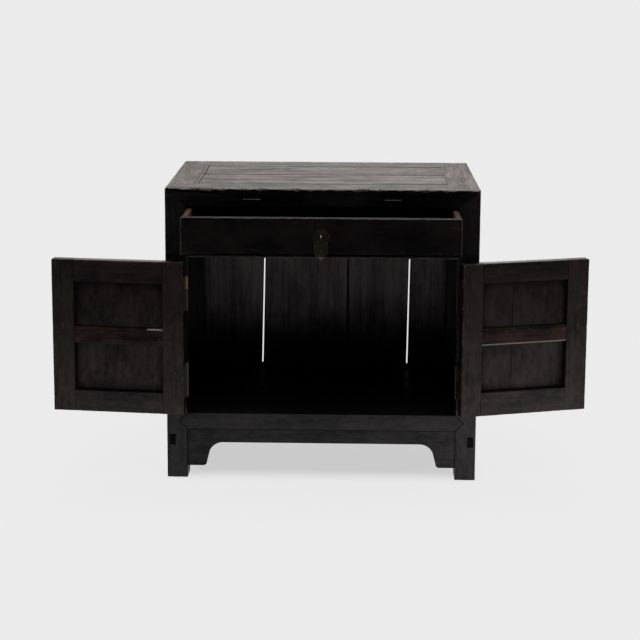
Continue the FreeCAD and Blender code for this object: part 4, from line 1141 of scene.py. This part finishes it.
class ChestDoors(bpy.types.Operator):
    """Make the two panelled doors"""

    bl_idname = "chest.make_doors"
    bl_label = "Doors"

    def execute(self, context):
        wood = context.scene.chest_wood
        tones = (wood.door_dark, wood.door_light)
        red_tones = (wood.door_dark, wood.batten_light)
        thin = wood_finish("thin_door_lacquer", *tones, wear=0.6, figure=0.6)
        # Painted shade: the door panel darkens along its borders, where the door's frame shades it
        panel = wood_finish(
            "door_panel_lacquer", *tones, wear=0.0, gloss=0.5, figure=0.35, mottle=1.2, painted_shade=0.8
        )
        red = wood_finish("red_batten_lacquer", *red_tones, wear=0.5, gloss=0.4, figure=0.6)
        dull = wood_finish("dull_batten_bevel", *red_tones, wear=0.3, gloss=0.0, rough=0.8, figure=0.6)
        # Pale finish for the chip where the left batten splinters, and for a painted reflection on the right
        # batten's lower edge
        pale = wood_finish(
            "batten_chip_and_painted_reflection", wood.rubbed, wood.pale_wear_and_painted_light, gloss=0.5, figure=0.4, mottle=0.4
        )
        # Painted shade: a dull, little-rubbed lacquer darkens the hinge-side edge of each door, which lies
        # in shade by the barrel
        hinge_edge_shade = lacquer_finish("door_edge_painted_shade", wear=0.2, gloss=0.05, rough=0.7)
        for door, way in (("left_door", -1), ("right_door", 1)):
            self.join_door(door, way, thin, panel, hinge_edge_shade)
        self.fit_battens(red, dull, pale, wood)
        return {"FINISHED"}

    def join_door(self, door, way, thin, panel, hinge_edge_shade):
        """The frame and panel of a door, whose hinge side faces along X by way when it is shut."""
        hinge_stile = door + "_hinge_stile"
        free_stile = door + "_free_stile"
        rails = [door + "_top_rail", door + "_bottom_rail"]
        outline = [hinge_stile, free_stile, *rails]
        for node in rails:
            worn_board(node, ALONG_X, thin, outline, chips=0.7)
        hinge_board = worn_board(hinge_stile, ALONG_Z, thin, outline, chips=0.7)
        worn_board(free_stile, ALONG_Z, thin, outline, chips=0.7)
        side = shut_turn(door).to_3x3().inverted() @ Vector((way, 0, 0))
        # Painted shade on the hinge-side edge
        paint(hinge_board, hinge_edge_shade, lambda face: face.normal.dot(side) > FACING)
        worn_board(door + "_panel", ALONG_Z, panel, [door + "_panel"], chips=0.3, closed=0)

    def fit_battens(self, red, dull, pale, wood):
        """The left batten has a splinter off its upper edge by the hinges; the right one has a pale lower
        edge, a painted reflection of the floor.
        """
        turn = shut_turn("left_door")
        end = outline_of(["left_door_hinge_stile"], turn)[1].x + wood.splinter
        base = outline_of(["left_door_batten"], turn)[1].z - wood.splinter_height
        cuts = [((end, 0, 0), (1, 0, 0)), ((0, 0, base), (0, 0, 1))]
        left = worn_board("left_door_batten", ALONG_X, red, ["left_door_batten"], chips=1.2, cuts=cuts)
        right = worn_board("right_door_batten", ALONG_X, red, ["right_door_batten"], chips=1.2)

        def splintered(face):
            return slopes_up(face) and (turn @ face.center).x < end and face.center.z > base

        paint(left, dull, slopes_up)
        paint(left, pale, splintered)
        paint(right, dull, slopes_up)
        # Painted reflection: the right batten's down-sloping lower edge is pale
        paint(right, pale, slopes_down)


def screw_head(radius, proud, turn):
    """A low domed head with a slot across it, facing +Z with its rim at the origin's height."""
    head = bmesh.new()
    angles = [2 * math.pi * number / SCREW_SIDES for number in range(SCREW_SIDES)]
    rows = []
    for share, height in SCREW_RINGS:
        reach = radius * share
        level = proud * height
        places = [(reach * math.cos(angle), reach * math.sin(angle), level) for angle in angles]
        rows.append([head.verts.new(place) for place in places])
    for lower, upper in zip(rows, rows[1:]):
        for number in range(SCREW_SIDES):
            after = (number + 1) % SCREW_SIDES
            head.faces.new((lower[number], lower[after], upper[after], upper[number]))
    head.faces.new(rows[-1])
    head.faces.new(list(reversed(rows[0])))
    for vertex in head.verts:
        if abs(vertex.co.y) < radius * SLOT_HALF and vertex.co.z > proud * SLOT_CUT:
            vertex.co.z = proud * SLOT_FLOOR
    head.transform(Matrix.Rotation(turn, 4, "Z"))
    return head


class ChestHinges(bpy.types.Operator):
    """Finish the hinge leaves and pins, and set the screws in the leaves"""

    bl_idname = "chest.make_hinges"
    bl_label = "Hinges"

    def execute(self, context):
        metal = context.scene.chest_metal
        edge = metal.metal_edge
        knuckle = outline_of(["left_door_hinge_leaves"])[1].z - metal.knuckle
        heights = (knuckle - KNUCKLE_FADE, knuckle)
        barrel = (Vector(hinge_of("left_door")["pos_m"]), metal.barrel_radius)
        iron = metal_finish("dull_iron", metal.iron_dark, metal.iron_light, 0.1, edge)
        grey = metal_finish("grey_hinge_brass", metal.hinge_film, metal.pale_brass_wear_and_glint, 0.1, edge)
        bared = metal_finish(
            "bared_hinge_brass", metal.hinge_film, metal.brass_light, 0.0, edge, heights, barrel
        )
        dark = metal_finish("dark_hinge_brass", metal.brass_dark, metal.pale_brass_wear_and_glint, -0.1, edge)
        metal_piece("hinge_pins", iron)
        for node, board, finish, facing in (
            ("left_post_hinge_leaves", "front_left_post", grey, 1),
            ("left_door_hinge_leaves", "left_door_hinge_stile", bared, -1),
            ("right_post_hinge_leaves", "front_right_post", dark, -1),
            ("right_door_hinge_leaves", "right_door_hinge_stile", dark, 1),
        ):
            metal_piece(node, finish)
            self.set_screws(node, board, facing, iron, metal)
        return {"FINISHED"}

    def set_screws(self, node, board, facing, iron, metal):
        """Two screw heads in each leaf let into a board, in the face along X when the door is shut."""
        turn = shut_turn(body_of(node))
        low, high = outline_of([board], turn)
        face = high.x if facing > 0 else low.x
        points = [turn @ vertex.co for vertex in frame["nodes"][node].data.vertices]
        leaf = [point for point in points if point.y > low.y + OUTLINE_GAP]
        depth = (min(point.y for point in leaf) + max(point.y for point in leaf)) / 2
        heights = sorted({round(point.z, LEAF_DIGITS) for point in leaf})
        half = len(heights) // 2
        heads = bmesh.new()
        for number, leaf_heights in enumerate((heights[:half], heights[half:])):
            middle = (leaf_heights[0] + leaf_heights[-1]) / 2
            for side in (-1, 1):
                slot_turn = SLOT_TURN + HINGE_TURN * number + SCREW_TURN * side
                head = screw_head(metal.screw_radius, metal.screw_proud, slot_turn)
                head.transform(Matrix.Rotation(math.radians(90) * facing, 4, "Y"))
                head.transform(Matrix.Translation((face, depth, middle + side * metal.screw_spread)))
                draft = mesh_from(head, "draft")
                heads.from_mesh(draft)
                bpy.data.meshes.remove(draft)
        mesh = mesh_from(heads, node + "_screws")
        mesh.transform(turn.inverted())
        piece = show(node + "_screws", mesh, [iron], node)


class ChestPulls(bpy.types.Operator):
    """Finish the plates, cotter pins and pendants of the pulls"""

    bl_idname = "chest.make_pulls"
    bl_label = "Pulls"

    def execute(self, context):
        metal = context.scene.chest_metal
        edge = metal.metal_edge
        clean = metal.pale_brass_wear_and_glint
        # Painted glint: the lowest part of the drawer's pendant is clean, bright brass
        lowest = outline_of(["drawer_pull_pendant"])[0].z
        tip = (lowest + metal.tip, lowest)
        eye_low, eye_high = outline_of(["drawer_pull_cotter"])
        eye_middle = (eye_low.z + eye_high.z) / 2
        # Painted highlight: the upper half of the drawer's cotter eye is clean, bright brass
        bright = (eye_middle - metal.plate_ease, eye_middle)
        plate = metal_finish("plate_brass", metal.brass_dark, clean, 0.0, edge * 3)
        eye_highlighted = metal_finish("eye_brass_painted_highlight", metal.brass_dark, clean, 0.0, edge, bright)
        clinch = metal_finish("cotter_iron", metal.iron_dark, metal.iron_light, 0.1, edge)
        drop = metal_finish("pendant_brass", metal.pendant_film, clean, 0.15, edge * 2)
        glint_tipped = metal_finish("pendant_brass_painted_glint", metal.pendant_film, clean, 0.15, edge * 2, tip)
        for owner, cotter, pendant in (
            ("drawer", eye_highlighted, glint_tipped),
            ("left_door", clinch, drop),
            ("right_door", clinch, drop),
        ):
            filed_piece(owner + "_pull_plate", plate, metal.plate_ease)
            metal_piece(owner + "_pull_cotter", cotter)
            filed_piece(owner + "_pull_pendant", pendant, metal.plate_ease / 2)
        return {"FINISHED"}


class ChestStage(bpy.types.Operator):
    """Set up the floor, the soft light, the backdrop and the camera"""

    bl_idname = "chest.make_stage"
    bl_label = "Stage"

    def execute(self, context):
        studio = context.scene.chest_studio
        context.scene.view_settings.view_transform = "Standard"
        self.lay_floor(studio)
        self.hang_light(studio)
        self.paint_backdrop(context.scene, studio)
        self.place_camera(context.scene, studio)
        return {"FINISHED"}

    def lay_floor(self, studio):
        """Pale with the chest's shadow as the lens sees it; as the chest sees it, a glow of painted light
        that fades to the front, gets brighter to the right and holds a painted shadow under the chest.
        """
        half = studio.floor_size / 2
        mesh = bpy.data.meshes.new("floor")
        corners = [(-half, -half, 0), (half, -half, 0), (half, half, 0), (-half, half, 0)]
        mesh.from_pydata(corners, [], [(0, 1, 2, 3)])
        material, sheet = new_finish("pale_floor")
        place = sheet.node("ShaderNodeNewGeometry", output="Position")
        x = sheet.part(place, "X")
        y = sheet.part(place, "Y")
        feet = outline_of(POSTS)[1]
        away = (abs(x) - feet.x).larger(abs(y) - feet.y)
        matte = sheet.node("ShaderNodeBsdfDiffuse", {}, {"Color": rgba([FLOOR_MATTE] * 3)})
        glow = sheet.node("ShaderNodeEmission", {}, {"Color": rgba([studio.backdrop] * 3)})
        beside = sheet.step(away, *SHADOW_END) * (EVEN_BESIDE - EVEN_UNDER)
        evenness = EVEN_UNDER + beside + sheet.step(away, *EVEN_FLOOR) * (1 - EVEN_BESIDE)
        seen_by_lens = sheet.node("ShaderNodeMixShader", {}, {0: evenness, 1: matte, 2: glow})
        # Painted light: for all but camera rays the floor glows, brighter to the right, with a painted
        # shadow under the chest
        near = 1 - sheet.step(0 - y, *FRONT_FADE)
        right = sheet.step(x, *RIGHT_RISE) * sheet.step(near, *NEAR_FADE)
        side = (LEFT_LEVEL + right * RIGHT_GAIN) * (1 - sheet.step(x, *RIGHT_FALL) * RIGHT_LOSS)
        beyond_painted_shadow = UNDER_LEVEL + sheet.step(away, *PAINTED_SHADOW_END) * (1 - UNDER_LEVEL)
        level = (FAR_LEVEL + near * studio.floor_glow) * side * beyond_painted_shadow
        tone = sheet.mix(level, rgba([0.0] * 3), rgba(FLOOR_TINT))
        painted_glow_for_chest = sheet.node("ShaderNodeEmission", {}, {"Color": tone})
        camera = sheet.node("ShaderNodeLightPath", output="Is Camera Ray")
        both = sheet.node("ShaderNodeMixShader", {}, {0: camera, 1: painted_glow_for_chest, 2: seen_by_lens})
        sheet.node("ShaderNodeOutputMaterial", {}, {"Surface": both})
        mesh.materials.append(material)
        floor = linked("floor", mesh)

    def hang_light(self, studio):
        lamp = bpy.data.lights.new("light_panel", "AREA")
        lamp.size = studio.panel_size
        lamp.energy = studio.panel_power
        panel = linked("light_panel", lamp)
        panel.location = (0.0, -studio.panel_ahead, studio.panel_height)

    def paint_backdrop(self, scene, studio):
        """Pale all round for the lens; for the chest, pale behind it and dim on the camera's side."""
        world = bpy.data.worlds.new("studio")
        world.use_nodes = True
        scene.world = world
        sheet = Sheet(world.node_tree)
        pale = rgba([studio.backdrop] * 3)
        direction = sheet.node("ShaderNodeTexCoord", output="Generated")
        fall = sheet.step(sheet.part(direction, "X"), *LEFT_FALL)
        lit = sheet.step(sheet.part(direction, "Y"), *BACK_LIGHT)
        room = sheet.mix(
            lit * (LEFT_BACKDROP + fall * (1 - LEFT_BACKDROP)), rgba([studio.room] * 3), pale
        )
        camera = sheet.node("ShaderNodeLightPath", output="Is Camera Ray")
        sky = sheet.node("ShaderNodeBackground", {}, {"Color": sheet.mix(camera, room, pale)})
        sheet.node("ShaderNodeOutputWorld", {}, {"Surface": sky})

    def place_camera(self, scene, studio):
        lens = bpy.data.cameras.new("camera")
        lens.lens = studio.lens
        lens.sensor_width = studio.sensor
        lens.shift_x = studio.aside
        lens.shift_y = studio.rise
        ahead = Vector((
            math.sin(studio.pan) * math.cos(studio.tilt),
            math.cos(studio.pan) * math.cos(studio.tilt),
            -math.sin(studio.tilt),
        ))
        level = Vector((math.cos(studio.pan), -math.sin(studio.pan), 0.0))
        down = ahead.cross(level)
        right = level * math.cos(studio.roll) + down * math.sin(studio.roll)
        upward = level * math.sin(studio.roll) - down * math.cos(studio.roll)
        turn = Matrix((right, upward, -ahead)).transposed().to_4x4()
        camera = linked("camera", lens)
        camera.matrix_world = Matrix.Translation(studio.camera_place) @ turn
        scene.camera = camera


class ChestPanel(bpy.types.Panel):
    """Sizes, colours and steps of the chest"""

    bl_idname = "CHEST_PT_steps"
    bl_label = "Lacquered Chest"
    bl_space_type = "VIEW_3D"
    bl_region_type = "UI"
    bl_category = "Chest"

    def draw(self, context):
        for step in STEPS:
            self.layout.operator(step.bl_idname)
        for group in (context.scene.chest_wood, context.scene.chest_metal, context.scene.chest_studio):
            box = self.layout.box()
            for name in group.__annotations__:
                box.prop(group, name)


STEPS = [ChestTop, ChestFrame, ChestInside, ChestDrawer, ChestDoors, ChestHinges, ChestPulls, ChestStage]
GROUPS = {"chest_wood": ChestWood, "chest_metal": ChestMetal, "chest_studio": ChestStudio}


def register():
    for kind in (*GROUPS.values(), *STEPS, ChestPanel):
        bpy.utils.register_class(kind)
    for name, group in GROUPS.items():
        setattr(bpy.types.Scene, name, bpy.props.PointerProperty(type=group))


def unregister():
    for name in GROUPS:
        delattr(bpy.types.Scene, name)
    for kind in (ChestPanel, *STEPS, *GROUPS.values()):
        bpy.utils.unregister_class(kind)


def main():
    register()
    bpy.ops.chest.make_top()
    bpy.ops.chest.make_frame()
    bpy.ops.chest.make_inside()
    bpy.ops.chest.make_drawer()
    bpy.ops.chest.make_doors()
    bpy.ops.chest.make_hinges()
    bpy.ops.chest.make_pulls()
    bpy.ops.chest.make_stage()


if __name__ == "__main__":
    main()
